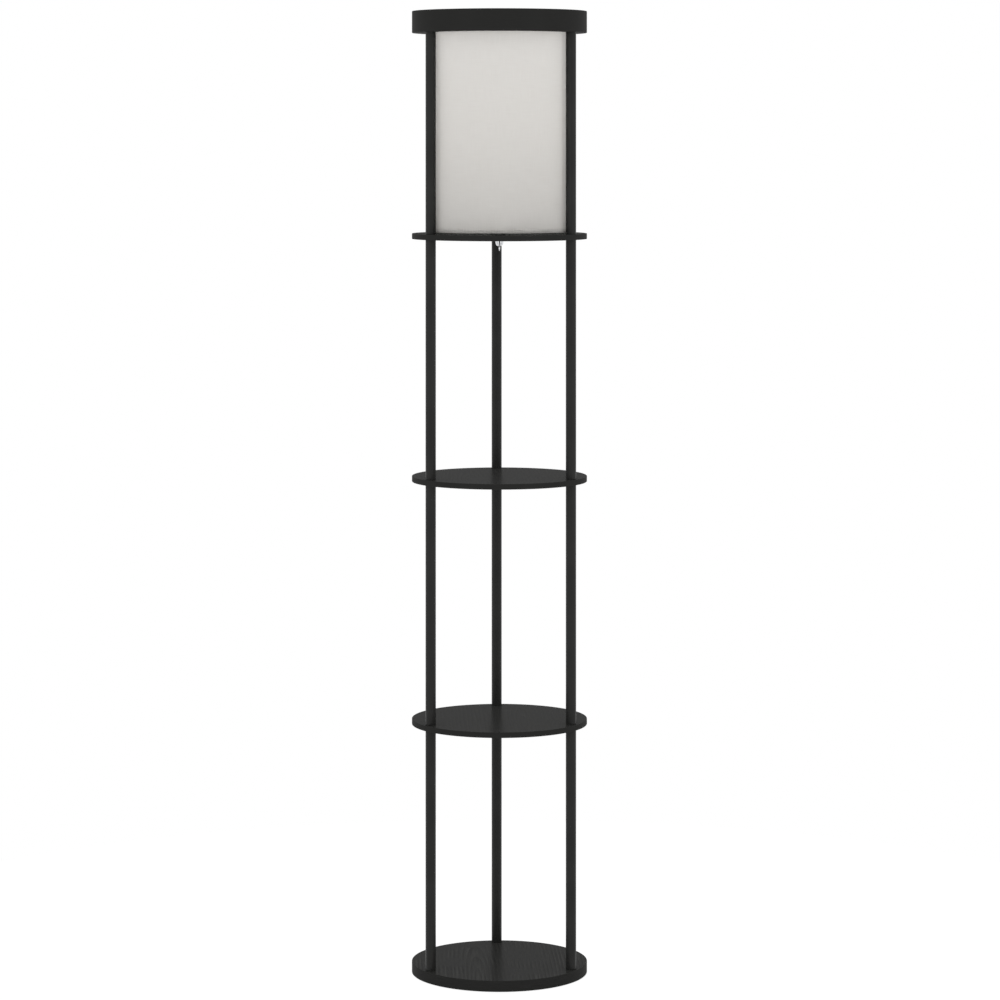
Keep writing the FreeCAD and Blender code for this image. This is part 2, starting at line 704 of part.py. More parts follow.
def make_bridge():
    """A bent strap over the switch, its two wood screws, and the hollow rod with its nut."""
    half = "bridge_width / 2"
    leg = "bridge_top - lamp_top"
    outer = "bridge_reach"
    strap = [block("bridge_deck", "-" + outer, "-" + half, "bridge_under",
                   "2 * bridge_reach", "bridge_width", "bridge_thickness")]
    screws = []
    holes = [rod("bridge_rod_hole", "rod_radius + screw_clearance", "bridge_thickness", "bridge_under")]
    for name, inner_x, foot_x, screw_x in (
            ("left", "-bridge_reach", "-bridge_reach - bridge_foot", "-bridge_reach - bridge_foot / 2"),
            ("right", "bridge_reach - bridge_thickness", "bridge_reach", "bridge_reach + bridge_foot / 2")):
        strap.append(block("bridge_leg_" + name, inner_x, "-" + half, "lamp_top",
                           "bridge_thickness", "bridge_width", leg))
        strap.append(block("bridge_foot_" + name, foot_x, "-" + half, "lamp_top",
                           "bridge_foot", "bridge_width", "bridge_thickness"))
        holes.append(rod("bridge_hole_" + name, "bridge_screw_radius + screw_clearance",
                         "bridge_thickness", "lamp_top", x=screw_x))
        head = rod("bridge_head_" + name, "bridge_screw_head", "bridge_screw_head_height",
                   "lamp_top + bridge_thickness", x=screw_x)
        shank = rod("bridge_shank_" + name, "bridge_screw_radius", "bridge_screw_length",
                    "lamp_top + bridge_thickness - bridge_screw_length", x=screw_x)
        screws.append(fuse("bridge_screw_" + name, [head, shank]))
        pilot = "bridge_screw_length - bridge_thickness"
        drill(doc.getObject("lamp_shelf"), "pilot_hole_" + name, "bridge_screw_radius + seat_clearance",
              "lamp_top", pilot, across=screw_x)
    node("holder_bracket", cut("bridge_drilled", fuse("bridge_bent", strap), group("bridge_holes", holes)))
    node("bracket_screws", group("bracket_screws_pair", screws))
    node("holder_rod", sleeve("holder_rod", "rod_radius", "rod_bore", "rod_bottom", "bridge_top + rod_above"))
    nut = hexagon("rod_nut_solid", "rod_radius + nut_wall", "nut_thickness", "bridge_under - nut_thickness")
    thread = rod("rod_nut_thread", "rod_radius + thread_clearance", "nut_thickness",
                 "bridge_under - nut_thickness")
    node("rod_nut", cut("rod_nut_bored", nut, thread))


def make_holder():
    thread = "rod_radius + thread_clearance"
    node("holder_cap", turned("holder_cap", (
        (thread, "bridge_top"),
        ("cap_foot_radius", "bridge_top"),
        ("holder_radius", "cap_top - cap_wall"),
        ("holder_radius", "cap_top"),
        ("holder_radius - cap_wall", "cap_top"),
        ("cap_foot_radius", "bridge_top + 2 * cap_wall"),
        (thread, "bridge_top + 2 * cap_wall"),
    )))
    node("holder_body", turned("holder_body", (
        ("rod_bore", "cap_top"),
        ("holder_radius", "cap_top"),
        ("holder_radius", "collar_bottom"),
        ("collar_radius", "collar_bottom"),
        ("collar_radius", "collar_top"),
        ("holder_radius", "collar_top"),
        ("holder_radius", "holder_top"),
        ("holder_inner", "holder_top"),
        ("holder_inner", "leaf_bottom"),
        ("rod_bore", "leaf_bottom"),
    )))
    node("holder_clamp_ring", sleeve("holder_clamp_ring", "clamp_radius", "holder_radius + thread_clearance",
                                     "clamp_bottom", "clamp_bottom + clamp_thickness"))
    shell = sleeve("shell_tube", "shell_radius + shell_wall", "shell_radius",
                   "leaf_bottom", "leaf_bottom + shell_rise")
    foot = sleeve("shell_foot", "holder_inner - seat_clearance", "shell_radius",
                  "leaf_bottom", "leaf_bottom + shell_wall")
    node("holder_screw_shell", fuse("holder_screw_shell_fused", [shell, foot]))
    node("holder_contact", block("contact_leaf", "-leaf_length / 2", "-leaf_width / 2", "leaf_bottom",
                                 "leaf_length", "leaf_width", "leaf_thickness"))
    terminals = [rod("terminal_%s" % name, "terminal_radius", "terminal_length",
                     "cap_top - terminal_length", x=x)
                 for name, x in (("left", "-holder_radius / 2"), ("right", "holder_radius / 2"))]
    node("holder_terminals", group("holder_terminal_pair", terminals))


def make_bulb():
    inner = "bulb_cap_radius - bulb_cap_wall"
    node("bulb_contact", turned("bulb_contact", (
        ("0", "bulb_bottom"),
        ("bulb_contact_radius", "bulb_cap_bottom"),
        ("0", "bulb_cap_bottom"),
    )))
    node("bulb_screw_cap", turned("bulb_screw_cap", (
        ("0", "bulb_cap_bottom"),
        ("bulb_contact_radius", "bulb_cap_bottom"),
        ("bulb_cap_radius", "bulb_cap_bottom + bulb_contact_radius"),
        ("bulb_cap_radius", "bulb_cap_top"),
        (inner, "bulb_cap_top"),
        (inner, "bulb_cap_bottom + bulb_contact_radius + bulb_cap_wall"),
        ("0", "bulb_cap_bottom + bulb_cap_wall"),
    )))
    node("bulb_collar", turned("bulb_collar", (
        ("bulb_cap_radius - 2 * bulb_wall", "bulb_cap_top"),
        ("bulb_cap_radius", "bulb_cap_top"),
        ("bulb_neck_radius", "bulb_cap_top + bulb_wall"),
        ("bulb_neck_radius", "bulb_cap_top + bulb_neck_rise"),
        ("bulb_collar_radius", "bulb_collar_top"),
        ("bulb_collar_radius - bulb_wall", "bulb_collar_top"),
        ("bulb_neck_radius - bulb_wall", "bulb_cap_top + bulb_neck_rise + bulb_wall"),
        ("bulb_cap_radius - 2 * bulb_wall", "bulb_cap_top + bulb_wall"),
    )))
    globe = turned("bulb_globe", (
        ("bulb_collar_radius - bulb_wall", "bulb_collar_top"),
        ("bulb_collar_radius", "bulb_collar_top"),
        ("bulb_globe_radius", "bulb_top - bulb_globe_radius"),
        ("0", "bulb_top"),
        ("0", "bulb_top - bulb_wall"),
        ("bulb_globe_radius - bulb_wall", "bulb_top - bulb_globe_radius"),
    ), arcs=(2, 4))
    node("bulb_globe", globe)


# ---------------------------------------------------------------- grommet and lead

def make_grommet():
    """A flanged sleeve that lines the cord's hole, with a flange above and below the shelf."""
    under = "lamp_bottom - grommet_flange_thickness"
    over = "lamp_top + grommet_flange_thickness"
    sleeve_part = grommet_disc("sleeve", "grommet_body", "lamp_bottom", "lamp_top")
    upper = grommet_disc("upper", "grommet_flange", "lamp_top", over)
    lower = grommet_disc("lower", "grommet_flange", under, "lamp_bottom")
    bore = grommet_disc("bore", "grommet_bore", under, over)
    node("cord_grommet", cut("grommet_bored", fuse("grommet_solid", [sleeve_part, upper, lower]), bore))


def grommet_disc(name, radius, bottom, top):
    """A disc of the grommet between two levels."""
    return rod("grommet_" + name, radius, "(%s) - (%s)" % (top, bottom), bottom, y="grommet_place")


def make_lead():
    """The insulated wire from the switch lid up into the hollow rod: up, over in two equal arcs and
    up again.  Its line comes from the sheet's numbers here."""
    start = Vector(value("lead_place"), 0, value("switch_top"))
    bend_start = Vector(start.x, 0, value("switch_top + lid_thickness + lead_rise"))
    bend_end = Vector(0, 0, value("rod_bottom + lead_entry"))
    end = Vector(0, 0, value("cap_top"))
    middle = (bend_start + bend_end) / 2
    chord = middle - bend_start
    radius = chord.Length ** 2 / (2 * abs(chord.x))
    lower = arc_from(bend_start, Vector(bend_start.x - radius, 0, bend_start.z), middle)
    upper = arc_from(bend_end, Vector(bend_end.x + radius, 0, bend_end.z), middle)
    path = Part.Wire([Part.LineSegment(start, bend_start).toShape(), lower, upper,
                      Part.LineSegment(bend_end, end).toShape()])
    section = Part.Wire(Part.makeCircle(value("lead_radius"), start, Vector(0, 0, 1)))
    lead = doc.addObject("Part::Feature", "link_lead_wire")
    lead.Shape = path.makePipeShell([section], True, True)
    node("link_lead", lead)


def arc_from(first, centre, last):
    """The short arc about a centre between two points."""
    across = ((first - centre) + (last - centre)).normalize()
    middle = centre + across * (first - centre).Length
    return Part.Arc(first, middle, last).toShape()


# ---------------------------------------------------------------- check and write

def write_nodes():
    doc.recompute()
    for thing in doc.Objects:
        bad = [state for state in thing.State if state in ("Invalid", "Error")]
        if bad:
            raise RuntimeError("%s is %s" % (thing.Label, bad))
    for piece in nodes:
        if piece.Shape.isNull() or not piece.Shape.isValid() or not piece.Shape.Solids:
            raise RuntimeError("%s has no sound shape" % piece.Label)
    os.makedirs("parts", exist_ok=True)
    for piece in nodes:
        piece.Shape.exportStep("parts/%s.step" % piece.Label)


fill_sheet()
make_base()
make_shelves()
make_ring()
make_posts()
make_fasteners()
make_shade()
make_switch_case()
make_dome_nut()
make_switch_works()
make_chain()
make_bridge()
make_holder()
make_bulb()
make_grommet()
make_lead()
write_nodes()
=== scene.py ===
"""Looks of the shelf floor lamp: black veneered boards on enamelled posts, a lined cloth drum shade and
a polished pull switch, lit in a plain white studio.  Metres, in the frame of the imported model."""
import json
from math import atan2, cos, pi, radians, sin

import bpy
from mathutils import Matrix, Vector


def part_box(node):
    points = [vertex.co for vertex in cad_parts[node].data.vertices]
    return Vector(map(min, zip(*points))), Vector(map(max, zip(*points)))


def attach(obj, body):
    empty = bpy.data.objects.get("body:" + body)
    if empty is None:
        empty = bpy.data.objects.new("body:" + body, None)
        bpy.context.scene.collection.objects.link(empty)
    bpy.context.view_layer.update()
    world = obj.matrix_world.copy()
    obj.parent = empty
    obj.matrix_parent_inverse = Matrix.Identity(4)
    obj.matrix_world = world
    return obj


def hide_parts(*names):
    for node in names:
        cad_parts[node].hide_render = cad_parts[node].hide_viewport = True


MM = 0.001
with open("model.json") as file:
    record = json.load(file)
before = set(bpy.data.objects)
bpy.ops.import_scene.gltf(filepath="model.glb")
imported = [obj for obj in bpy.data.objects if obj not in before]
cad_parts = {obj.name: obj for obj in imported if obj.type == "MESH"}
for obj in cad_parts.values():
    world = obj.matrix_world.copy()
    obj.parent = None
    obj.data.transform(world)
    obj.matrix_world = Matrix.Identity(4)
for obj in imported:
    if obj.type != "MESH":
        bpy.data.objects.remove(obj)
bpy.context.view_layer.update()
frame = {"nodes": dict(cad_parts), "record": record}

BODY_OF = {node: body for body, nodes in frame["record"]["behaviour"]["bodies"].items() for node in nodes}
SLOT_OF = {row["node"]: row["material_slot"] for row in frame["record"]["subparts"]}


def levels(node):
    """The lowest and the highest level of a node."""
    return [corner.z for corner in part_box(node)]


def reach(node):
    """How far a node that is round about the lamp's axis reaches out from it."""
    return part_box(node)[1].x


# Places read from the frame
BOARD_RADIUS = reach("base_board")
SHADE_RADIUS = reach("shade_fabric")
SHADE_LOW, SHADE_HIGH = levels("shade_fabric")
LAMP_LOW, LAMP_TOP = levels("lamp_shelf")
RING_TOP = levels("top_ring")[1]
POST_RADIUS = (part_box("post_back_1")[1].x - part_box("post_back_1")[0].x) / 2
POST_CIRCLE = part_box("post_back_1")[1].y - POST_RADIUS
POST_ANGLES = {"back": 90, "left": 210, "right": 330}
HOLDER_RADIUS = reach("holder_cap")

# Sizes that the boxes of the nodes don't give, as the solids have them
STUD_HOLE = 3.4 * MM
WELL_RADIUS = 6.6 * MM
BASE_WELL, RING_WELL = 8 * MM, 14 * MM
RING_OPENING = 123.5 * MM
THREAD_HOLE, NECK_HOLE = 5.08 * MM, 5.3 * MM
GROMMET_PLACE, GROMMET_HOLE = 98 * MM, 6.15 * MM
HOOP_RADIUS, HOOP_WIRE = 119.1 * MM, 1.5 * MM
BEAD_RADIUS = 1.0 * MM
LAST_BEAD = levels("pull_chain")[0] + BEAD_RADIUS
COLLAR_TOP = levels("holder_body")[0] + 14 * MM
STRAP_LEG = 18 * MM
STRAP_SCREWS = (reach("holder_bracket") + STRAP_LEG) / 2

# Sizes of the scene's own detail
HEM, TOP_HEM = 9 * MM, 5 * MM
BULB_SKIN = 1.2 * MM

# Points closer together than this are one point: in a new outline, and where a cut has left corners
POINT, HAIR = 0.001 * MM, 0.01 * MM

# Share of the shade's finish that lets light through from inside the drum
GLOW = 0.66


# ---------------------------------------------------------------- nodes and colours

def linear(code):
    """A linear colour from an sRGB hex code."""
    channels = [int(code[place:place + 2], 16) / 255 for place in (1, 3, 5)]
    return [c / 12.92 if c <= 0.04045 else ((c + 0.055) / 1.055) ** 2.4 for c in channels] + [1.0]


def add(tree, kind, inputs=None, stops=(), to=None, **settings):
    """Adds a node with its settings and, on a ramp, its stops of (place, colour).  An input is a value or
    another node's output.  The first output goes on to a socket where one is given."""
    node = tree.nodes.new("ShaderNode" + kind)
    for name, setting in settings.items():
        setattr(node, name, setting)
    for socket, source in (inputs or {}).items():
        if isinstance(source, bpy.types.NodeSocket):
            tree.links.new(source, node.inputs[socket])
        else:
            node.inputs[socket].default_value = source
    for number, (place, colour) in enumerate(stops):
        elements = node.color_ramp.elements
        element = elements[number] if number < 2 else elements.new(place)
        element.position = place
        element.color = colour
    if to:
        tree.links.new(node.outputs[0], to)
    return node


def finish_of(name, **sockets):
    """A new material, its tree and its Principled shader.  Sockets are set by name, with _ for a space."""
    material = bpy.data.materials.new(name)
    material.use_nodes = True
    shader = material.node_tree.nodes["Principled BSDF"]
    for socket, value in sockets.items():
        shader.inputs[socket.replace("_", " ")].default_value = value
    return material, material.node_tree, shader


# ---------------------------------------------------------------- materials

def black_veneer():
    """Flat-sawn ash veneer, stained black under a dull lacquer: dark grey wood that is slightly shiny, with
    nearly straight grain from front to back.  On the rims is a plainer strip, whose grain runs round.  The
    faces are a tone lighter than the strip, partly as painted light for the brighter look of the tops seen
    at a slant."""
    material, tree, shader = finish_of("black_stained_ash_veneer", Roughness=0.6, Specular_IOR_Level=0.0,
                                       Coat_Weight=0.09, Coat_Roughness=0.27)
    # The faces' lighter tone is partly the strip's plainer wood and partly painted light for the sheen the
    # tops catch at a slant
    painted_light_face_tone, rim_tone = 0.60, 0.35
    on_face, leaf, strip, boldness = leaf_and_strip(tree)
    figure = add(tree, "Math", {0: wood_figure(tree, leaf), 1: on_face}, operation="MULTIPLY").outputs[0]
    grain = add(tree, "Mix", {0: on_face, 4: strip, 5: leaf}, data_type="VECTOR").outputs[1]
    figure = add(tree, "Math", {0: figure, 1: open_pores(tree, grain)}, operation="ADD").outputs[0]
    middle = add(tree, "Math", {0: on_face, 1: painted_light_face_tone - rim_tone, 2: rim_tone},
                 operation="MULTIPLY_ADD").outputs[0]
    figure = add(tree, "Math", {0: figure, 1: boldness, 2: middle}, operation="MULTIPLY_ADD").outputs[0]
    add(tree, "ValToRGB", {"Fac": figure}, to=shader.inputs["Base Color"],
        stops=[(0.10, linear("#20201f")), (0.35, linear("#282827")), (0.60, linear("#323231")),
               (1.00, linear("#40403e"))])
    add(tree, "Bump", {"Height": figure, "Distance": 0.05 * MM, "Strength": 0.4},
        to=shader.inputs["Normal"])
    return material


def wood_figure(tree, leaf):
    """Growth rings and fibre streaks of a leaf of veneer, round 0, which fade out in clear patches.  The
    rings stand round a pith that lies under the leaf, deeper towards the back.  So they show as straight
    lines at the sides and close in an arch over the pith.  All of it sways a little from side to side."""
    sway_width, sway_length, sway_reach = 40 * MM, 400 * MM, 6 * MM
    pith_depth, pith_slope = 8 * MM, 0.08
    ring_spacing, ring_share = 6.5 * MM, 0.32
    streak_width, streak_length = 3.0 * MM, 120 * MM
    patch_size, patch_place = 70 * MM, (0.05, 0.47, 0)

    axes = add(tree, "SeparateXYZ", {"Vector": leaf})
    sway = streaks(tree, leaf, sway_width, sway_length, Detail=2.0)
    across = add(tree, "Math", {0: sway, 1: sway_reach, 2: axes.outputs["X"]},
                 operation="MULTIPLY_ADD").outputs[0]
    depth = add(tree, "Math", {0: axes.outputs["Y"], 1: pith_slope, 2: pith_depth},
                operation="MULTIPLY_ADD").outputs[0]
    from_pith = add(tree, "CombineXYZ", {"X": across, "Y": depth}).outputs[0]
    from_pith = add(tree, "VectorMath", {0: from_pith}, operation="LENGTH").outputs["Value"]
    rings = add(tree, "Math", {0: from_pith, 1: ring_spacing}, operation="DIVIDE").outputs[0]
    rings = add(tree, "Math", {0: rings}, operation="FRACT").outputs[0]
    rings = add(tree, "MapRange", {"Value": rings, "From Min": 0.15, "From Max": 0.85,
                                   "To Min": ring_share / 2, "To Max": -ring_share / 2}).outputs[0]
    along = add(tree, "CombineXYZ", {"X": across, "Y": axes.outputs["Y"]}).outputs[0]
    fibres = streaks(tree, along, streak_width, streak_length, Detail=2.0)
    fibres = add(tree, "Math", {0: fibres, 1: 0.5}, operation="SUBTRACT").outputs[0]
    figure = add(tree, "Math", {0: fibres, 1: rings}, operation="ADD").outputs[0]
    patch = add(tree, "VectorMath", {0: leaf, 1: patch_place}, operation="ADD").outputs[0]
    shown = add(tree, "TexNoise", {"Vector": patch, "Scale": 1 / patch_size, "Detail": 1.0}).outputs["Fac"]
    shown = add(tree, "MapRange", {"Value": shown, "From Min": 0.35, "From Max": 0.65}).outputs[0]
    return add(tree, "Math", {0: figure, 1: shown}, operation="MULTIPLY").outputs[0]


def open_pores(tree, grain):
    """The open pores of ash, round 0: fine dashes along the grain.  They are drawn 0.8 mm wide, about three
    times as coarse as they are, so that they show."""
    pore_width, pore_length, strength = 0.8 * MM, 25 * MM, 0.7
    pores = streaks(tree, grain, pore_width, pore_length, Detail=3.0, Roughness=0.65)
    return add(tree, "Math", {0: pores, 1: strength, 2: -strength / 2}, operation="MULTIPLY_ADD").outputs[0]


def streaks(tree, place, width, length, **settings):
    """A pattern of streaks, from 0 to 1, of about this width across the grain and this length along Y."""
    pressed = add(tree, "VectorMath", {0: place, 1: (1 / width, 1 / length, 1)}, operation="MULTIPLY")
    return add(tree, "TexNoise", {"Vector": pressed.outputs[0], "Scale": 1.0, **settings}).outputs["Fac"]


def leaf_and_strip(tree):
    """Whether a point of a board is on a face, its place on the face's leaf of veneer, its place on the
    strip round the rim, and how bold the wood is.  The grain runs along Y on both.  A board's number is its
    height in steps of 200 mm.  It shifts the board's leaf, and board 0, the base, has the boldest wood."""
    board_step, leaf_shift, leaf_turn, leaf_start = 200 * MM, 45 * MM, 1.7, 0.9
    base_boldness, shelf_boldness = 1.0, 0.3

    place = add(tree, "TexCoord").outputs["Object"]
    facing = add(tree, "SeparateXYZ", {"Vector": add(tree, "TexCoord").outputs["Normal"]}).outputs["Z"]
    facing = add(tree, "Math", {0: facing}, operation="ABSOLUTE").outputs[0]
    on_face = add(tree, "Math", {0: facing, 1: 0.5}, operation="GREATER_THAN").outputs[0]
    axes = add(tree, "SeparateXYZ", {"Vector": place})
    to_front = add(tree, "Math", {0: axes.outputs["Y"], 1: -1.0}, operation="MULTIPLY").outputs[0]
    turn = add(tree, "Math", {0: axes.outputs["X"], 1: to_front}, operation="ARCTAN2").outputs[0]
    round_rim = add(tree, "Math", {0: turn, 1: BOARD_RADIUS}, operation="MULTIPLY").outputs[0]
    strip = add(tree, "CombineXYZ", {"X": axes.outputs["Z"], "Y": round_rim}).outputs[0]

    board = add(tree, "Math", {0: axes.outputs["Z"], 1: board_step}, operation="DIVIDE").outputs[0]
    board = add(tree, "Math", {0: board}, operation="ROUND").outputs[0]
    aside = add(tree, "Math", {0: board, 1: leaf_turn, 2: leaf_start},
                operation="MULTIPLY_ADD").outputs[0]
    aside = add(tree, "Math", {0: aside}, operation="SINE").outputs[0]
    aside = add(tree, "Math", {0: aside, 1: leaf_shift}, operation="MULTIPLY").outputs[0]
    shift = add(tree, "CombineXYZ", {"X": aside, "Y": aside, "Z": 0.0}).outputs[0]
    leaf = add(tree, "VectorMath", {0: place, 1: shift}, operation="ADD").outputs[0]
    boldness = add(tree, "MapRange", {"Value": board, "From Max": 1.0, "To Min": base_boldness,
                                      "To Max": shelf_boldness}).outputs[0]
    return on_face, leaf, strip, boldness


def black_enamel():
    """Semi-gloss black enamel sprayed on steel tube: an even, soft shine, with a fine orange peel."""
    material, tree, shader = finish_of("black_enamel_on_tube", Roughness=0.34, Specular_IOR_Level=0.14)
    peel_size, cloud_size = 1.6 * MM, 60 * MM
    place = add(tree, "TexCoord").outputs["Object"]
    peel = add(tree, "TexNoise", {"Vector": place, "Scale": 1 / peel_size, "Detail": 1.0}).outputs["Fac"]
    cloud = add(tree, "TexNoise", {"Vector": place, "Scale": 1 / cloud_size, "Detail": 2.0}).outputs["Fac"]
    add(tree, "ValToRGB", {"Fac": cloud}, to=shader.inputs["Base Color"],
        stops=[(0.35, linear("#232322")), (0.65, linear("#282827"))])
    add(tree, "Bump", {"Height": peel, "Distance": 0.01 * MM, "Strength": 0.3}, to=shader.inputs["Normal"])
    return material


def shade_cloth():
    """Off-white linen-look polyester in a plain weave with slubs, bonded to the lining: matt and a little
    uneven.  The threads are drawn 0.9 mm apart, about twice as coarse as they are, so that they show.
    Daylight comes through it from the open top of the drum.  The hems let less light through, because the
    cloth is doubled there over the wire, and their colour is darker as painted shade: the shadow where the
    drum meets the shelf and the ring."""
    material, tree, shader = finish_of("off_white_plain_weave", Roughness=0.9, Specular_IOR_Level=0.15,
                                       Sheen_Weight=0.08)
    thread = 0.9 * MM
    slub_width, slub_length = 1.2 * MM, 30 * MM
    weave_tone, slub_height, painted_hem_shade, hem_glow = 0.25, 0.6, 0.5, 0.35

    # A wave texture repeats 20 times in 2 pi, so this scale gives it the spacing of the threads
    weave_scale = 2 * pi / (20 * thread)
    uv = add(tree, "UVMap", uv_map="cloth").outputs[0]
    wave = {"Vector": uv, "Scale": weave_scale, "Distortion": 0.6, "Detail": 1.0}
    warp = add(tree, "TexWave", wave, bands_direction="X").outputs["Fac"]
    weft = add(tree, "TexWave", wave, bands_direction="Y").outputs["Fac"]
    weave = add(tree, "Math", {0: warp, 1: weft}, operation="MULTIPLY").outputs[0]
    across = streaks(tree, uv, slub_length, slub_width, Detail=1.0)
    upright = streaks(tree, uv, slub_width, slub_length, Detail=1.0)
    slubs = add(tree, "Math", {0: across, 1: upright}, operation="ADD").outputs[0]
    tone = add(tree, "Math", {0: weave, 1: weave_tone, 2: slubs}, operation="MULTIPLY_ADD").outputs[0]
    tone = add(tree, "MapRange", {"Value": tone, "From Min": 0.70, "From Max": 1.35,
                                  "To Min": 0.5, "To Max": 1.0}).outputs[0]
    hem = in_a_hem(tree, uv)
    # Painted shade: the hems' colour is darkened, down to the lowest stop of the ramp, for the shadow at
    # the drum's ends
    tone = add(tree, "Math", {0: hem, 1: -painted_hem_shade, 2: tone}, operation="MULTIPLY_ADD").outputs[0]
    add(tree, "ValToRGB", {"Fac": tone}, to=shader.inputs["Base Color"],
        stops=[(0.0, linear("#a9a7a3")), (0.5, linear("#e0deda")), (1.0, linear("#edece8"))])
    height = add(tree, "Math", {0: slubs, 1: slub_height, 2: weave},
                 operation="MULTIPLY_ADD").outputs[0]
    add(tree, "Bump", {"Height": height, "Distance": 0.12 * MM, "Strength": 0.6},
        to=shader.inputs["Normal"])
    glow = add(tree, "MapRange", {"Value": hem, "To Min": GLOW, "To Max": hem_glow}).outputs[0]
    let_light_through(tree, shader, glow)
    return material


def in_a_hem(tree, uv):
    """1 in the hems of the shade and 0 between them, with a soft border."""
    up = add(tree, "SeparateXYZ", {"Vector": uv}).outputs["Y"]
    low_hem = add(tree, "MapRange", {"Value": up, "From Min": SHADE_LOW + HEM + MM,
                                     "From Max": SHADE_LOW + HEM / 2}).outputs[0]
    top_hem = add(tree, "MapRange", {"Value": up, "From Min": SHADE_HIGH - TOP_HEM - MM,
                                     "From Max": SHADE_HIGH - TOP_HEM / 2}).outputs[0]
    return add(tree, "Math", {0: low_hem, 1: top_hem}, operation="MAXIMUM").outputs[0]


def let_light_through(tree, shader, share):
    """Mixes in a translucent shader, so that light from the far side of a thin sheet glows in it."""
    through = add(tree, "BsdfTranslucent", {"Color": linear("#fffefd")})
    add(tree, "MixShader", {0: share, 1: shader.outputs[0], 2: through.outputs[0]},
        to=tree.nodes["Material Output"].inputs["Surface"])


def lining():
    """White styrene film behind the cloth: smooth, faintly cloudy, and it lets light through."""
    material, tree, shader = finish_of("white_styrene_lining", Roughness=0.5)
    cloud_size = 25 * MM
    place = add(tree, "TexCoord").outputs["Object"]
    cloud = add(tree, "TexNoise", {"Vector": place, "Scale": 1 / cloud_size, "Detail": 2.0}).outputs["Fac"]
    add(tree, "ValToRGB", {"Fac": cloud}, to=shader.inputs["Base Color"],
        stops=[(0.3, linear("#efeeeb")), (0.7, linear("#f6f5f3"))])
    add(tree, "Bump", {"Height": cloud, "Distance": 0.05 * MM, "Strength": 0.5},
        to=shader.inputs["Normal"])
    let_light_through(tree, shader, GLOW)
    return material


def plain(name, code, roughness, metallic=0.0, grain=1.0 * MM, depth=0.02 * MM, spread=0.12):
    """A finish of one colour with a fine grain: a mottled tone and a shallow bump of the same size."""
    material, tree, shader = finish_of(name, Roughness=roughness, Metallic=metallic)
    place = add(tree, "TexCoord").outputs["Object"]
    noise = add(tree, "TexNoise", {"Vector": place, "Scale": 1 / grain, "Detail": 2.0}).outputs["Fac"]
    base = linear(code)
    darker = [c * (1 - spread) for c in base[:3]] + [1]
    lighter = [min(1, c * (1 + spread)) for c in base[:3]] + [1]
    add(tree, "ValToRGB", {"Fac": noise}, to=shader.inputs["Base Color"],
        stops=[(0.3, darker), (0.7, lighter)])
    add(tree, "Bump", {"Height": noise, "Distance": depth, "Strength": 0.5}, to=shader.inputs["Normal"])
    return material


def make_materials():
    """One finish for each material slot of the record, with a comment on what it gives the eye."""
    return {
        "veneer_black": black_veneer(),
        "post_black": black_enamel(),
        "shade_linen": shade_cloth(),
        "shade_lining": lining(),
        # Metals: zinc is grey and slightly frosted, chrome a mirror, brass yellow, nickel a warm grey
        "zinc_fastener": plain("bright_zinc_plate", "#b9bab8", 0.32, metallic=1.0, grain=0.6 * MM),
        "bracket_zinc": plain("zinc_plated_strip", "#aeb0af", 0.38, metallic=1.0, grain=1.2 * MM),
        "chrome_trim": plain("polished_chrome_plate", "#d6d7d9", 0.06, metallic=1.0, grain=6 * MM,
                             depth=0.004 * MM, spread=0.02),
        "contact_brass": plain("rolled_brass", "#c79f53", 0.3, metallic=1.0, grain=0.7 * MM),
        "spring_steel": plain("drawn_spring_steel", "#a7a8a8", 0.3, metallic=1.0, grain=0.5 * MM),
        "bulb_cap_nickel": plain("nickel_plated_shell", "#c4c2bc", 0.25, metallic=1.0, grain=1.2 * MM),
        # Powder coat: white, with a fine even texture
        "wire_white": plain("white_powder_coat_on_wire", "#d8d8d4", 0.45, grain=0.8 * MM, spread=0.05),
        # Moulded plastics: smooth, phenolic the glossiest, nylon cream-coloured, the bulb's opal and even
        "black_plastic": plain("moulded_black_polypropylene", "#262626", 0.5, grain=0.8 * MM),
        "switch_phenolic": plain("dark_brown_phenolic", "#2a2320", 0.42, grain=2 * MM),
        "holder_phenolic": plain("black_phenolic", "#232323", 0.35, grain=1.5 * MM),
        "works_nylon": plain("natural_nylon", "#ddd8c9", 0.5, grain=1.5 * MM, spread=0.05),
        "bulb_collar_white": plain("white_moulded_polycarbonate", "#e4e4e1", 0.35, grain=3 * MM,
                                   spread=0.02),
        "bulb_opal": plain("opal_polycarbonate", "#efefec", 0.4, grain=3 * MM, spread=0.02),
        # Soft things: matt black rubber and vinyl, and felt with loose grey fibres
        "grommet_rubber": plain("soft_black_rubber", "#202020", 0.7, grain=0.8 * MM),
        "lead_pvc": plain("black_pvc_sleeving", "#1f1f1f", 0.5, grain=0.8 * MM),
        "pad_felt": plain("pressed_grey_felt", "#3a3a39", 0.95, grain=0.7 * MM, depth=0.3 * MM,
                          spread=0.35),
    }


MATERIALS = make_materials()


# ---------------------------------------------------------------- modelling by hand, in code

def start_piece(name, make, **settings):
    """Adds a primitive with nothing else selected, and names it."""
    bpy.ops.object.select_all(action="DESELECT")
    make(**settings)
    piece = bpy.context.object
    piece.name = name
    return piece


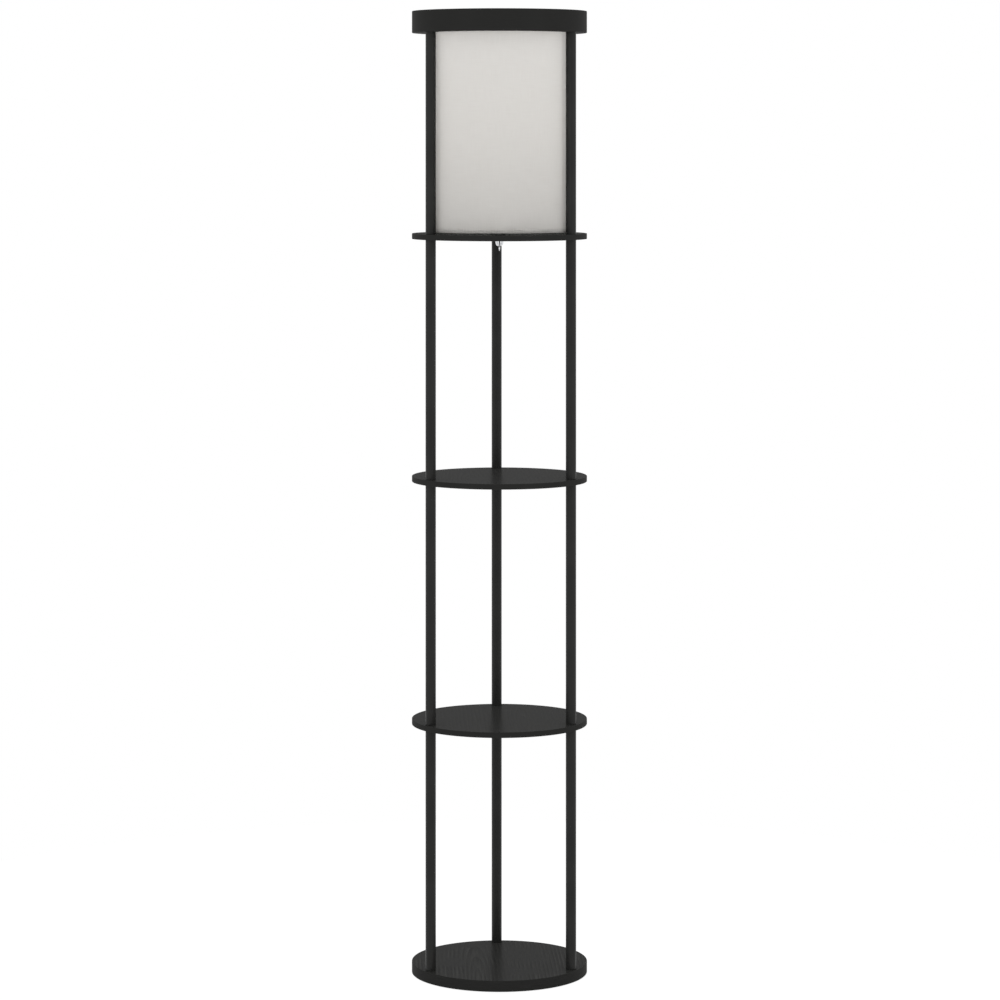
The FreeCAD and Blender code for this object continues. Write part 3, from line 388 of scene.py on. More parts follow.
def turned(name, outline, steps=96, closed=True, smooth_angle=35):
    """Spins an outline of (radius, height) points round the lamp's axis: one vertex is drawn out from
    point to point and the line is then spun.  An outline that isn't closed starts and ends on the axis."""
    piece = start_piece(name, bpy.ops.mesh.primitive_plane_add, size=MM)
    bpy.ops.object.mode_set(mode="EDIT")
    bpy.ops.mesh.merge(type="CENTER")
    points = [Vector((radius, 0, height)) for radius, height in outline]
    if closed:
        points.append(points[0])
    bpy.ops.transform.translate(value=points[0])
    for here, there in zip(points, points[1:]):
        bpy.ops.mesh.extrude_region_move(TRANSFORM_OT_translate={"value": there - here})
    bpy.ops.mesh.select_all(action="SELECT")
    bpy.ops.mesh.remove_doubles(threshold=POINT)
    bpy.ops.mesh.spin(steps=steps, angle=2 * pi, center=(0, 0, 0), axis=(0, 0, 1))
    bpy.ops.mesh.select_all(action="SELECT")
    bpy.ops.mesh.remove_doubles(threshold=POINT)
    bpy.ops.mesh.normals_make_consistent(inside=False)
    bpy.ops.object.mode_set(mode="OBJECT")
    return shade_smooth(piece, smooth_angle)


def shade_smooth(piece, angle=35):
    """Shades a piece smooth but for its sharp edges, with its large faces flat right up to their rims."""
    pick(piece)
    bpy.ops.object.shade_smooth_by_angle(angle=radians(angle))
    return finish_with(piece, "WEIGHTED_NORMAL", keep_sharp=True)


def arc(centre, radius, first, last, count):
    """Points of an arc in an outline, from one angle to another in degrees, where 0 points outwards."""
    angles = [radians(first + (last - first) * step / count) for step in range(count + 1)]
    return [(centre[0] + radius * cos(angle), centre[1] + radius * sin(angle)) for angle in angles]


def pick(*pieces):
    """Selects these pieces alone, the first as the active one."""
    bpy.ops.object.select_all(action="DESELECT")
    for piece in pieces:
        piece.select_set(True)
    bpy.context.view_layer.objects.active = pieces[0]
    return pieces[0]


def pick_faces(piece, wanted):
    """Opens a piece in edit mode with only those of its faces selected that the test picks out."""
    pick(piece)
    bpy.ops.object.mode_set(mode="EDIT")
    bpy.ops.mesh.select_mode(type="FACE")
    bpy.ops.mesh.select_all(action="DESELECT")
    bpy.ops.object.mode_set(mode="OBJECT")
    for face in piece.data.polygons:
        face.select = wanted(face)
    bpy.ops.object.mode_set(mode="EDIT")


def raise_faces(piece, wanted, height):
    """Draws the chosen faces of a piece out along their normals, or sinks them where height is negative."""
    pick_faces(piece, wanted)
    bpy.ops.mesh.extrude_region_shrink_fatten(TRANSFORM_OT_shrink_fatten={"value": height})
    bpy.ops.mesh.select_mode(type="VERT")
    bpy.ops.object.mode_set(mode="OBJECT")
    return shade_smooth(piece)


def finish_with(piece, kind, **settings):
    """Adds a modifier with its settings and applies it."""
    pick(piece)
    modifier = piece.modifiers.new("work", kind)
    for name, setting in settings.items():
        setattr(modifier, name, setting)
    bpy.ops.object.modifier_apply(modifier=modifier.name)
    return piece


def recalculate(piece):
    """Turns all faces of a closed piece outwards, after merging its doubled points."""
    pick(piece)
    bpy.ops.object.mode_set(mode="EDIT")
    bpy.ops.mesh.select_all(action="SELECT")
    bpy.ops.mesh.remove_doubles(threshold=POINT)
    bpy.ops.mesh.normals_make_consistent(inside=False)
    bpy.ops.object.mode_set(mode="OBJECT")


def soften(piece, width, angle=40):
    """Rounds the sharp edges of a piece and shades it smooth."""
    finish_with(piece, "BEVEL", width=width, segments=2, limit_method="ANGLE",
                angle_limit=radians(angle))
    return shade_smooth(piece)


def settle(piece):
    """Puts the place, turn and size of an object into its mesh."""
    pick(piece)
    bpy.ops.object.transform_apply(location=True, rotation=True, scale=True)
    return piece


def copy_of(piece, name, move=(0, 0, 0), turn=0):
    """A copy with a mesh of its own, moved and then turned in degrees about the lamp's axis."""
    pick(piece)
    bpy.ops.object.duplicate()
    copy = bpy.context.object
    copy.name = name
    copy.rotation_euler.z = radians(turn)
    copy.location = Matrix.Rotation(radians(turn), 4, "Z") @ Vector(move)
    return settle(copy)


def join(name, pieces):
    """Makes one piece of several."""
    joined = pick(*pieces)
    bpy.ops.object.join()
    joined.name = name
    return joined


def cut_away(piece, *tools):
    """Takes the tools out of a piece and deletes them.  Merges corners that this leaves a hair apart."""
    for tool in tools:
        finish_with(piece, "BOOLEAN", object=tool, operation="DIFFERENCE", solver="EXACT")
        bpy.data.objects.remove(tool)
    pick(piece)
    bpy.ops.object.mode_set(mode="EDIT")
    bpy.ops.mesh.select_all(action="SELECT")
    bpy.ops.mesh.remove_doubles(threshold=HAIR)
    bpy.ops.mesh.dissolve_degenerate(threshold=HAIR)
    bpy.ops.mesh.normals_make_consistent(inside=False)
    bpy.ops.object.mode_set(mode="OBJECT")
    return shade_smooth(piece)


def drill(piece, radius, low, high, places, sides=48):
    """Cuts round upright holes in a piece between two levels, one at each (x, y) place."""
    for x, y in places:
        bit = start_piece("bit", bpy.ops.mesh.primitive_cylinder_add, vertices=sides, radius=radius,
                          depth=high - low, location=(x, y, (low + high) / 2))
        cut_away(piece, settle(bit))


def at_posts():
    """The three places of the posts."""
    return [(POST_CIRCLE * cos(radians(angle)), POST_CIRCLE * sin(radians(angle)))
            for angle in POST_ANGLES.values()]


def dress(piece, *nodes):
    """Gives a finished piece the body of the nodes that it stands for and their slot's finish, and hides
    those nodes.
    """
    slot = SLOT_OF[nodes[0]]
    piece.data.materials.clear()
    piece.data.materials.append(MATERIALS[slot])
    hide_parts(*nodes)
    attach(piece, BODY_OF[nodes[0]])
    return piece


# ---------------------------------------------------------------- the camera, the studio and its lamps

def make_camera():
    """A level camera far off, turned a little to the left of the lamp, with the view shifted down."""
    distance, eye_height = 5.8824, 1.3880
    turn = radians(2.03)
    data = bpy.data.cameras.new("camera")
    data.sensor_width = 36
    data.lens = 127.773
    data.shift_x = 0.00055
    data.shift_y = -0.36565
    camera = bpy.data.objects.new("camera", data)
    camera.location = (-distance * sin(turn), -distance * cos(turn), eye_height)
    camera.rotation_euler = (radians(90), 0, -turn)
    bpy.context.scene.collection.objects.link(camera)
    bpy.context.scene.camera = camera


def make_world():
    """A white cyclorama: full white where it is seen or mirrored.  As light it is brightest from the
    horizon downwards, like a lit white sweep, and dimmer towards the ceiling."""
    sweep, ceiling = 0.98, 0.72
    world = bpy.data.worlds.new("studio")
    bpy.context.scene.world = world
    world.use_nodes = True
    tree = world.node_tree
    tree.nodes.clear()
    height = add(tree, "SeparateXYZ", {"Vector": add(tree, "TexCoord").outputs["Generated"]}).outputs["Z"]
    light = add(tree, "MapRange", {"Value": height, "From Min": -0.1, "From Max": 0.9,
                                   "To Min": sweep, "To Max": ceiling}).outputs[0]
    strength = add(tree, "Mix", {0: is_seen(tree), 2: light, 3: 1.0}).outputs[0]
    out = add(tree, "OutputWorld")
    add(tree, "Background", {"Color": (1, 1, 1, 1), "Strength": strength}, to=out.inputs["Surface"])


def is_seen(tree):
    """1 for a ray that sees, mirrors or looks through, and 0 for one that only gathers light."""
    path = add(tree, "LightPath")
    seen = add(tree, "Math", {0: path.outputs["Is Camera Ray"], 1: path.outputs["Is Glossy Ray"]},
               operation="MAXIMUM").outputs[0]
    return add(tree, "Math", {0: seen, 1: path.outputs["Is Transmission Ray"]},
               operation="MAXIMUM").outputs[0]


def make_floor():
    """A round pale floor that keeps a faint shadow where it is seen."""
    floor_radius, seen_share, seen_white = 1.3, 0.85, 1.12
    floor = start_piece("floor", bpy.ops.mesh.primitive_circle_add, vertices=96, radius=floor_radius,
                        fill_type="NGON")
    material, tree, shader = finish_of("pale_studio_floor", Base_Color=linear("#f2f2f2"), Roughness=0.9,
                                       Specular_IOR_Level=0.0)
    share = add(tree, "Math", {0: is_seen(tree), 1: seen_share}, operation="MULTIPLY").outputs[0]
    white = add(tree, "Emission", {"Color": (1, 1, 1, 1), "Strength": seen_white})
    add(tree, "MixShader", {0: share, 1: shader.outputs[0], 2: white.outputs[0]},
        to=tree.nodes["Material Output"].inputs["Surface"])
    floor.data.materials.append(material)


def make_light(name, place, size, power):
    """A soft square lamp that faces the middle of the lamp's height."""
    data = bpy.data.lights.new(name, "AREA")
    data.shape = "SQUARE"
    data.size = size
    data.energy = power
    light = bpy.data.objects.new(name, data)
    light.location = place
    aim = Vector((0, 0, RING_TOP / 2)) - Vector(place)
    light.rotation_euler = aim.to_track_quat("-Z", "Y").to_euler()
    bpy.context.scene.collection.objects.link(light)


def make_studio():
    """The camera, the white surroundings, and a soft lamp on either side in front."""
    make_camera()
    make_world()
    make_floor()
    aside, in_front, height, size, power = 3.0, 3.0, 1.0, 2.0, 6
    make_light("front_left", (-aside, -in_front, height), size, power)
    make_light("front_right", (aside, -in_front, height), size, power)
    bpy.context.scene.view_settings.view_transform = "Standard"


# ---------------------------------------------------------------- shade

def make_shade():
    """The drum: cloth bonded to a white film, one laminate, lapped and glued in a seam at the back, with
    the cloth turned in over both rings."""
    wall, hem_proud, half_lap = 1.2 * MM, 0.35 * MM, 4 * MM
    roll = wall / 2
    inner, outer = SHADE_RADIUS - wall, SHADE_RADIUS - hem_proud
    inside_reach = inner + 0.1 * MM
    outline = [
        *arc((SHADE_RADIUS - roll, SHADE_LOW + roll), roll, -180, 0, 6),
        (SHADE_RADIUS, SHADE_LOW + HEM - roll), (outer, SHADE_LOW + HEM),
        (outer, SHADE_HIGH - TOP_HEM), (SHADE_RADIUS, SHADE_HIGH - TOP_HEM + roll),
        *arc((SHADE_RADIUS - roll, SHADE_HIGH - roll), roll, 0, 180, 6),
    ]
    drum = turned("shade_drum", outline, steps=192)

    def in_the_lap(face):
        between_hems = SHADE_LOW + HEM < face.center.z < SHADE_HIGH - TOP_HEM
        return between_hems and face.center.y > inside_reach and abs(face.center.x) < half_lap

    raise_faces(drum, in_the_lap, hem_proud * 0.8)
    cloth_uv(drum)
    dress(drum, "shade_fabric", "shade_liner")
    drum.data.materials.append(MATERIALS["shade_lining"])
    for face in drum.data.polygons:
        across = Vector((face.center.x, face.center.y, 0))
        if across.length < inside_reach and face.normal.dot(across) < 0:
            face.material_index = 1


def cloth_uv(cloth):
    """A map in metres round and up the drum, so that the weave follows the cloth.  It starts at the back,
    and a face that crosses that line keeps all its corners on the same side of it."""
    layer = cloth.data.uv_layers.new(name="cloth")
    for face in cloth.data.polygons:
        middle = atan2(face.center.x, -face.center.y)
        for corner in face.loop_indices:
            point = cloth.data.vertices[cloth.data.loops[corner].vertex_index].co
            angle = atan2(point.x, -point.y)
            if angle - middle > pi:
                angle -= 2 * pi
            if middle - angle > pi:
                angle += 2 * pi
            layer.data[corner].uv = (angle * SHADE_RADIUS, point.z)


# ---------------------------------------------------------------- boards, ring and posts

def eased(inner, outer, low, high, ease, inner_ease=None):
    """The outline of a ring or disc with rounded corners, anticlockwise from its lower outer corner.  The
    outline of a disc starts and ends on the axis."""
    inner_ease = ease if inner_ease is None else inner_ease
    outside = [*arc((outer - ease, low + ease), ease, -90, 0, 4),
               *arc((outer - ease, high - ease), ease, 0, 90, 4)]
    if inner == 0:
        return [(0, low), *outside, (0, high)]
    return [*outside, *arc((inner + inner_ease, high - inner_ease), inner_ease, 90, 180, 4),
            *arc((inner + inner_ease, low + inner_ease), inner_ease, 180, 270, 4)]


def make_boards():
    """Veneered discs with a solid band round each rim, and a hairline where the two meet."""
    band_depth, hairline, ease = 1.0 * MM, 0.12 * MM, 0.5 * MM
    core_radius = BOARD_RADIUS - band_depth
    for name in ("base_board", "lower_shelf", "middle_shelf", "lamp_shelf"):
        low, high = levels(name)
        core = turned(name + "_core", eased(0, core_radius, low, high, hairline), steps=192, closed=False)
        drill(core, STUD_HOLE, low - MM, high + MM, at_posts(), sides=24)
        if name == "base_board":
            drill(core, WELL_RADIUS, low - BASE_WELL, low + BASE_WELL, at_posts())
        if name == "lamp_shelf":
            drill(core, NECK_HOLE, low - MM, high + MM, [(0, 0)])
            drill(core, GROMMET_HOLE, low - MM, high + MM, [(0, GROMMET_PLACE)])
        band = turned(name + "_edge_band", eased(core_radius, BOARD_RADIUS, low, high, ease, hairline),
                      steps=192)
        dress(core, name)
        dress(band, name)


def make_ring():
    """The ring over the shade, with a well for each bolt."""
    low, high = levels("top_ring")
    ease = 0.8 * MM
    ring = turned("shade_ring", eased(RING_OPENING, BOARD_RADIUS, low, high, ease), steps=192)
    drill(ring, STUD_HOLE, low - MM, high + MM, at_posts(), sides=24)
    drill(ring, WELL_RADIUS, high - RING_WELL, high + RING_WELL, at_posts())
    dress(ring, "top_ring")


def make_plugs():
    """A slightly domed plug in each well of the ring."""
    low, high = levels("top_plugs")
    radius = WELL_RADIUS - 0.1 * MM
    crown, ease = 0.5 * MM, 0.3 * MM
    shoulder = high - crown - ease
    plug = turned("plug", [
        (0, low), (radius, low), (radius, shoulder), *arc((radius - ease, shoulder), ease, 0, 70, 3),
        (radius * 0.6, high - 0.15 * MM), (0, high)], steps=48, closed=False)
    dress(set_out("well_plugs", plug), "top_plugs")


def set_out(name, piece, circle=POST_CIRCLE, angles=tuple(POST_ANGLES.values())):
    """Copies of a piece that stands on the axis, set out on a circle and joined."""
    copies = [copy_of(piece, name, (circle, 0, 0), angle) for angle in angles]
    bpy.data.objects.remove(piece)
    return join(name, copies)


def make_posts():
    """Enamelled tubes between the boards, with the rims of the cut ends rounded off."""
    wall, ease = 1.2 * MM, 0.35 * MM
    for tier in (1, 2, 3, 4):
        low, high = levels("post_back_%d" % tier)
        tube = turned("tube", eased(POST_RADIUS - wall, POST_RADIUS, low, high, ease), steps=64)
        for side, angle in POST_ANGLES.items():
            name = "%s_%d" % (side, tier)
            dress(copy_of(tube, "tube_" + name, (POST_CIRCLE, 0, 0), angle), "post_" + name)
        bpy.data.objects.remove(tube)


def make_pads():
    """Six die-cut felt discs under the base, a little rounded where they have been pressed."""
    low, high = levels("felt_pads")
    radius, ease = 9 * MM, 0.45 * MM
    pad = turned("pad", eased(0, radius, low, high, ease), steps=48, closed=False)
    dress(set_out("floor_pads", pad, reach("felt_pads") - radius, range(0, 360, 60)), "felt_pads")


# ---------------------------------------------------------------- wires of the shade

def wire_ring(name, level):
    """A round hoop with the bulge of its butt weld at the back."""
    hoop = start_piece(name, bpy.ops.mesh.primitive_torus_add, location=(0, 0, level),
                       major_radius=HOOP_RADIUS, minor_radius=HOOP_WIRE, major_segments=180,
                       minor_segments=16)
    settle(hoop)
    weld, weld_reach, bulge = Vector((0, HOOP_RADIUS, level)), 2.5 * MM, 1.12
    bpy.ops.object.mode_set(mode="EDIT")
    bpy.ops.mesh.select_all(action="DESELECT")
    bpy.ops.object.mode_set(mode="OBJECT")
    for vertex in hoop.data.vertices:
        vertex.select = (vertex.co - weld).length < weld_reach
    bpy.ops.object.mode_set(mode="EDIT")
    bpy.ops.transform.resize(value=(1, bulge, bulge), center_override=weld)
    bpy.ops.object.mode_set(mode="OBJECT")
    bpy.ops.object.shade_smooth()
    return hoop


def weld_bead(place, radius):
    """A small round bead of weld metal, slightly flattened."""
    weld = start_piece("weld", bpy.ops.mesh.primitive_uv_sphere_add, segments=16, ring_count=10,
                       radius=radius, location=place, scale=(1, 1, 0.8))
    settle(weld)
    bpy.ops.object.shade_smooth()
    return weld


def wire(name, points, radius):
    """A round wire along points, with closed ends."""
    piece = start_piece(name, bpy.ops.curve.primitive_nurbs_path_add)
    spline = piece.data.splines.new("POLY")
    piece.data.splines.remove(piece.data.splines[0])
    spline.points.add(len(points) - 1)
    for point, place in zip(spline.points, points):
        point.co = (*place, 1)
    piece.data.bevel_depth = radius
    piece.data.bevel_resolution = 3
    piece.data.use_fill_caps = True
    bpy.ops.object.convert(target="MESH")
    bpy.ops.object.shade_smooth_by_angle(angle=radians(35))
    return bpy.context.object


def make_shade_wires():
    """The top hoop, and the low hoop with three arms and the flat ring that sits on the lampholder."""
    dress(wire_ring("top_hoop", sum(levels("shade_top_hoop")) / 2), "shade_top_hoop")

    hoop_level = levels("shade_frame")[0] + HOOP_WIRE
    fitter_low, fitter_high = COLLAR_TOP, levels("shade_frame")[1]
    fitter_inner, fitter_outer, ease = 19.4 * MM, 28.9 * MM, 0.3 * MM
    arm_radius, hoop_weld, fitter_weld = 1.3 * MM, 2.1 * MM, 1.7 * MM
    pieces = [wire_ring("low_hoop", hoop_level),
              turned("fitter", eased(fitter_inner, fitter_outer, fitter_low, fitter_high, ease))]
    for angle in (30, 150, 270):
        out = Vector((cos(radians(angle)), sin(radians(angle)), 0))
        start = out * (fitter_outer - arm_radius) + Vector((0, 0, (fitter_low + fitter_high) / 2))
        end = out * HOOP_RADIUS + Vector((0, 0, hoop_level))
        pieces += [wire("arm", [start, end], arm_radius), weld_bead(end, hoop_weld),
                   weld_bead(start, fitter_weld)]
    dress(join("shade_spider", pieces), "shade_frame")


# ---------------------------------------------------------------- pull switch

def make_switch_case():
    """The moulded case of the pull switch, with three grooves round it."""
    low, high = levels("switch_housing")
    radius = reach("switch_housing")
    wall, floor, groove, foot_ease, rim_ease = 1.2 * MM, 2 * MM, 0.4 * MM, 0.5 * MM, 0.2 * MM
    outline = [(THREAD_HOLE, low), (radius - foot_ease, low), (radius, low + foot_ease)]
    for step in (1, 2, 3):
        level = low + (high - low) * step / 4
        outline += [(radius, level - groove), (radius - groove, level), (radius, level + groove)]
    outline += [(radius, high - rim_ease), (radius - rim_ease, high), (radius - wall, high),
                (radius - wall, low + floor), (THREAD_HOLE, low + floor)]
    dress(turned("switch_case", outline), "switch_housing")


def make_switch_bowl():
    """The polished bowl-shaped nut that holds the switch to the shelf: a rolled lip, a full bowl, a waist
    and a flat rim, with the slot down its front that lets the chain be pulled at a slant."""
    low, high = levels("switch_dome_nut")
    rim, mouth, lip, rim_ease = 7.0 * MM, 2.6 * MM, 0.9 * MM, 0.3 * MM
    bowl_radius, fullness = rim - 0.25 * MM, 0.8
    bowl_top, lip_level = high - 3 * MM, low + lip / 2
    waist_radius, waist_level = 0.35 * MM, bowl_top + 0.5 * MM
    thread_end = levels("switch_neck")[0] - 0.08 * MM
    bulge = bowl_radius - mouth - lip
    side = [(mouth + lip + bulge * sin(radians(angle)) ** fullness,
             bowl_top - (bowl_top - lip_level) * cos(radians(angle))) for angle in range(0, 91, 6)]
    bowl = turned("switch_bowl", [
        (mouth, lip_level), *arc((mouth + lip / 2, lip_level), lip / 2, 180, 360, 8)[1:-1], *side,
        *arc((rim - waist_radius, waist_level), waist_radius, -60, 60, 6),
        (bowl_radius, bowl_top + 1.0 * MM), (rim, bowl_top + 1.2 * MM), (rim, high - rim_ease),
        (rim - rim_ease, high), (THREAD_HOLE, high), (THREAD_HOLE, thread_end), (mouth, thread_end)],
        steps=128)
    slot_width, slot_low, slot_top = 1.9 * MM, low + 0.8 * MM, high - 0.6 * MM
    slot = start_piece("slot", bpy.ops.mesh.primitive_cube_add, size=1,
                       location=(0, -rim, (slot_low + slot_top) / 2),
                       scale=(slot_width, 2 * (rim - mouth / 2), slot_top - slot_low))
    slot = finish_with(settle(slot), "BEVEL", width=slot_width * 0.45, segments=4)
    dress(cut_away(bowl, slot), "switch_dome_nut")


def make_chain():
    """Bead chain on its fine link wire, with the stop on top.  A bead's outline leaves out 20 degrees where
    its neck is, and the last one 10 degrees at the chain's end."""
    stop_low, stop_high = levels("pull_chain")[1] - 2 * MM, levels("pull_chain")[1]
    link, spacing, stop, stop_ease = 0.35 * MM, 2.8 * MM, 2.0 * MM, 0.2 * MM
    neck, end = 20, 10
    outline = [(0, LAST_BEAD - BEAD_RADIUS)]
    level = LAST_BEAD
    while level < stop_low - BEAD_RADIUS:
        first = -90 + (neck if level > LAST_BEAD else end)
        outline += arc((0, level), BEAD_RADIUS, first, 90 - neck, 10)
        level += spacing
    outline += [(link, stop_low), (stop - stop_ease, stop_low), (stop, stop_low + stop_ease),
                (stop, stop_high - 2 * stop_ease), (stop - 2 * stop_ease, stop_high), (0, stop_high)]
    dress(turned("bead_chain", outline, steps=24, closed=False, smooth_angle=50), "pull_chain")


def make_drop():
    """The polished drop that swings on the last bead: slim, pointed below, and hollow above."""
    low, high = levels("pull_tip")
    rim, belly, mouth, socket = 1.05 * MM, 1.25 * MM, 0.85 * MM, 1.1 * MM
    belly_level, fullness = high - 2.4 * MM, 0.65
    socket_edge, socket_start = LAST_BEAD + 0.70 * MM, 39
    below = [(belly * sin(pi / 2 * step / 12) ** fullness, low + (belly_level - low) * step / 12)
             for step in range(13)]
    above = [(rim + (belly - rim) * cos(pi / 2 * step / 5), belly_level + (high - belly_level) * step / 5)
             for step in range(1, 6)]
    dress(turned("chain_drop", [
        *below, *above, (mouth, high), (mouth, socket_edge),
        *arc((0, LAST_BEAD), socket, socket_start, -90, 10)], steps=48, closed=False, smooth_angle=50),
        "pull_tip")


# ---------------------------------------------------------------- lampholder and bulb

def make_strap():
    """A strap bent over the switch: the line of its outer face is drawn out edge by edge, its bends are
    rounded, and then it gets its thickness."""
    low, high = levels("holder_bracket")
    end = reach("holder_bracket")
    half_width, thickness, bend, ease, screw_hole = 8 * MM, 2 * MM, 2.5 * MM, 0.25 * MM, 2.3 * MM
    strap = start_piece("holder_strap", bpy.ops.mesh.primitive_plane_add, size=2 * half_width)
    bpy.ops.object.mode_set(mode="EDIT")
    bpy.ops.mesh.merge(type="CENTER")
    bpy.ops.transform.translate(value=(-end, -half_width, low + thickness))
    bpy.ops.mesh.extrude_region_move(TRANSFORM_OT_translate={"value": (0, 2 * half_width, 0)})
    bpy.ops.mesh.select_all(action="SELECT")
    rise = high - low - thickness
    for move in ((end - STRAP_LEG, 0, 0), (0, 0, rise), (2 * STRAP_LEG, 0, 0), (0, 0, -rise),
                 (end - STRAP_LEG, 0, 0)):
        bpy.ops.mesh.extrude_region_move(TRANSFORM_OT_translate={"value": move})
    bpy.ops.mesh.select_all(action="SELECT")
    bpy.ops.mesh.normals_make_consistent(inside=False)
    bpy.ops.object.mode_set(mode="OBJECT")
    finish_with(strap, "BEVEL", width=bend, segments=5, limit_method="ANGLE",
                angle_limit=radians(40))
    inwards = -1 if strap.data.polygons[0].normal.z > 0 else 1
    finish_with(strap, "SOLIDIFY", thickness=thickness, offset=inwards)
    recalculate(strap)
    drill(strap, NECK_HOLE, high - 2 * thickness, high + thickness, [(0, 0)])
    drill(strap, screw_hole, low - thickness, low + 2 * thickness, [(-STRAP_SCREWS, 0), (STRAP_SCREWS, 0)],
          sides=24)
    soften(strap, ease, angle=50)
    dress(strap, "holder_bracket")


def make_strap_screws():
    """Two round-headed screws with pointed shanks and crossed slots."""
    low, high = levels("bracket_screws")
    head, shank, head_height, head_edge = 3.8 * MM, 2.0 * MM, 2.2 * MM, 0.5 * MM
    under_head, dome_height = high - head_height, head_height - head_edge
    dome = [(head * cos(radians(angle)), under_head + head_edge + dome_height * sin(radians(angle)))
            for angle in range(0, 90, 15)]
    screw = turned("screw", [
        (0, low), (shank * 0.3, low + 0.6 * MM), (shank, low + 2.4 * MM), (shank, under_head),
        (head, under_head), *dome, (0, high)], steps=32, closed=False)
    slot_size = (4.4 * MM, 0.9 * MM, 2.4 * MM)
    for turn in (20, 110):
        slot = start_piece("slot", bpy.ops.mesh.primitive_cube_add, size=1, location=(0, 0, high),
                           scale=slot_size, rotation=(0, 0, radians(turn)))
        cut_away(screw, settle(slot))
    dress(set_out("strap_screws", screw, STRAP_SCREWS, (0, 180)), "bracket_screws")


def rolled_thread(radius, depth, low, high, pitch=3.6 * MM, points=8):
    """The outline of a rolled thread from one level up to another, its turns drawn as closed rings."""
    turns = int((high - low) / pitch)
    line = []
    for step in range(turns * points + 1):
        swing = (1 - cos(2 * pi * step / points)) / 2
        line.append((radius - depth * swing, low + pitch * step / points))
    return line


def make_holder_dome():
    """The domed phenolic cap of the lampholder."""
    low, high = levels("holder_cap")
    foot, wall, foot_height, foot_ease, rim_ease = 9.5 * MM, 2 * MM, 1 * MM, 0.5 * MM, 0.2 * MM
    rise = high - wall - low - foot_height
    dome = [(foot + (HOLDER_RADIUS - foot) * sin(radians(angle)),
             low + foot_height + rise * (1 - cos(radians(angle)))) for angle in range(0, 91, 10)]
    dress(turned("holder_dome", [
        (THREAD_HOLE, low), (foot - foot_ease, low), (foot, low + foot_ease), *dome,
        (HOLDER_RADIUS, high - rim_ease), (HOLDER_RADIUS - rim_ease, high), (HOLDER_RADIUS - wall, high),
        (foot, low + 2 * wall), (THREAD_HOLE, low + 2 * wall)]), "holder_cap")


def make_holder_barrel():
    """The phenolic body of the lampholder, with a collar that carries the shade, and a thread above."""
    low, high = levels("holder_body")
    collar = reach("holder_body")
    inner, bore, floor = 16 * MM, 3.4 * MM, 3 * MM
    collar_low, collar_ease = COLLAR_TOP - 2 * MM, 0.4 * MM
    rim_ease, mouth_ease = 0.5 * MM, 0.3 * MM
    threads = rolled_thread(HOLDER_RADIUS, 0.5 * MM, COLLAR_TOP + 1.6 * MM, high - 1.2 * MM,
                            pitch=2 * MM, points=6)
    dress(turned("holder_barrel", [
        (bore, low), (HOLDER_RADIUS, low), (HOLDER_RADIUS, collar_low), (collar - collar_ease, collar_low),
        (collar, collar_low + collar_ease), (collar, COLLAR_TOP - collar_ease),
        (collar - collar_ease, COLLAR_TOP), (HOLDER_RADIUS, COLLAR_TOP), *threads,
        (HOLDER_RADIUS, high - rim_ease), (HOLDER_RADIUS - rim_ease, high), (inner + mouth_ease, high),
        (inner, high - mouth_ease), (inner, low + floor), (bore, low + floor)]), "holder_body")


def make_shade_clamp():
    """The ring that clamps the shade's frame to the collar, with grooves round it for the fingers."""
    low, high = levels("holder_clamp_ring")
    outer, inner = reach("holder_clamp_ring"), HOLDER_RADIUS + 0.08 * MM
    ease, groove_depth = 0.5 * MM, 0.5 * MM
    steps, ribs = 144, 36
    ring = turned("shade_clamp", eased(inner, outer, low, high, ease), steps=steps)

    def in_a_groove(face):
        across = Vector((face.center.x, face.center.y, 0))
        place = (atan2(across.y, across.x) / (2 * pi) * steps) % (steps / ribs)
        outside = across.length > outer - 0.2 * MM and face.normal.dot(across.normalized()) > 0.9
        return outside and place < 2

    raise_faces(ring, in_a_groove, -groove_depth)
    dress(ring, "holder_clamp_ring")


def make_brass_shell():
    """The rolled brass shell that the bulb screws into."""
    low, high = levels("holder_screw_shell")
    radius, wall, depth, flange = 14.4 * MM, 0.7 * MM, 0.6 * MM, 15.95 * MM
    first, last = low + 5 * MM, high - 2 * MM
    outside = rolled_thread(radius + wall, depth, first, last)
    inside = [(x - depth, z) for x, z in rolled_thread(radius + depth, depth, first, last)]
    dress(turned("brass_shell", [
        (flange, low), (flange, low + wall), (radius + wall, low + 2 * MM), *outside,
        (radius + wall, high), (radius, high), *reversed(inside), (radius, low)], steps=64),
        "holder_screw_shell")


def make_nickel_cap():
    """The rolled screw cap of the bulb."""
    low, high = levels("bulb_screw_cap")
    radius = reach("bulb_screw_cap")
    contact, wall, depth = 4.5 * MM, 0.8 * MM, 0.9 * MM
    inside = radius - wall - depth
    threads = rolled_thread(radius, depth, low + contact, high - 3.2 * MM)
    dress(turned("nickel_cap", [
        (0, low), (contact, low), (radius - depth, low + contact - 1.2 * MM), *threads,
        (radius, high), (radius - wall, high), (inside, high - 3 * MM), (inside, low + contact + wall),
        (0, low + wall)], steps=64, closed=False), "bulb_screw_cap")


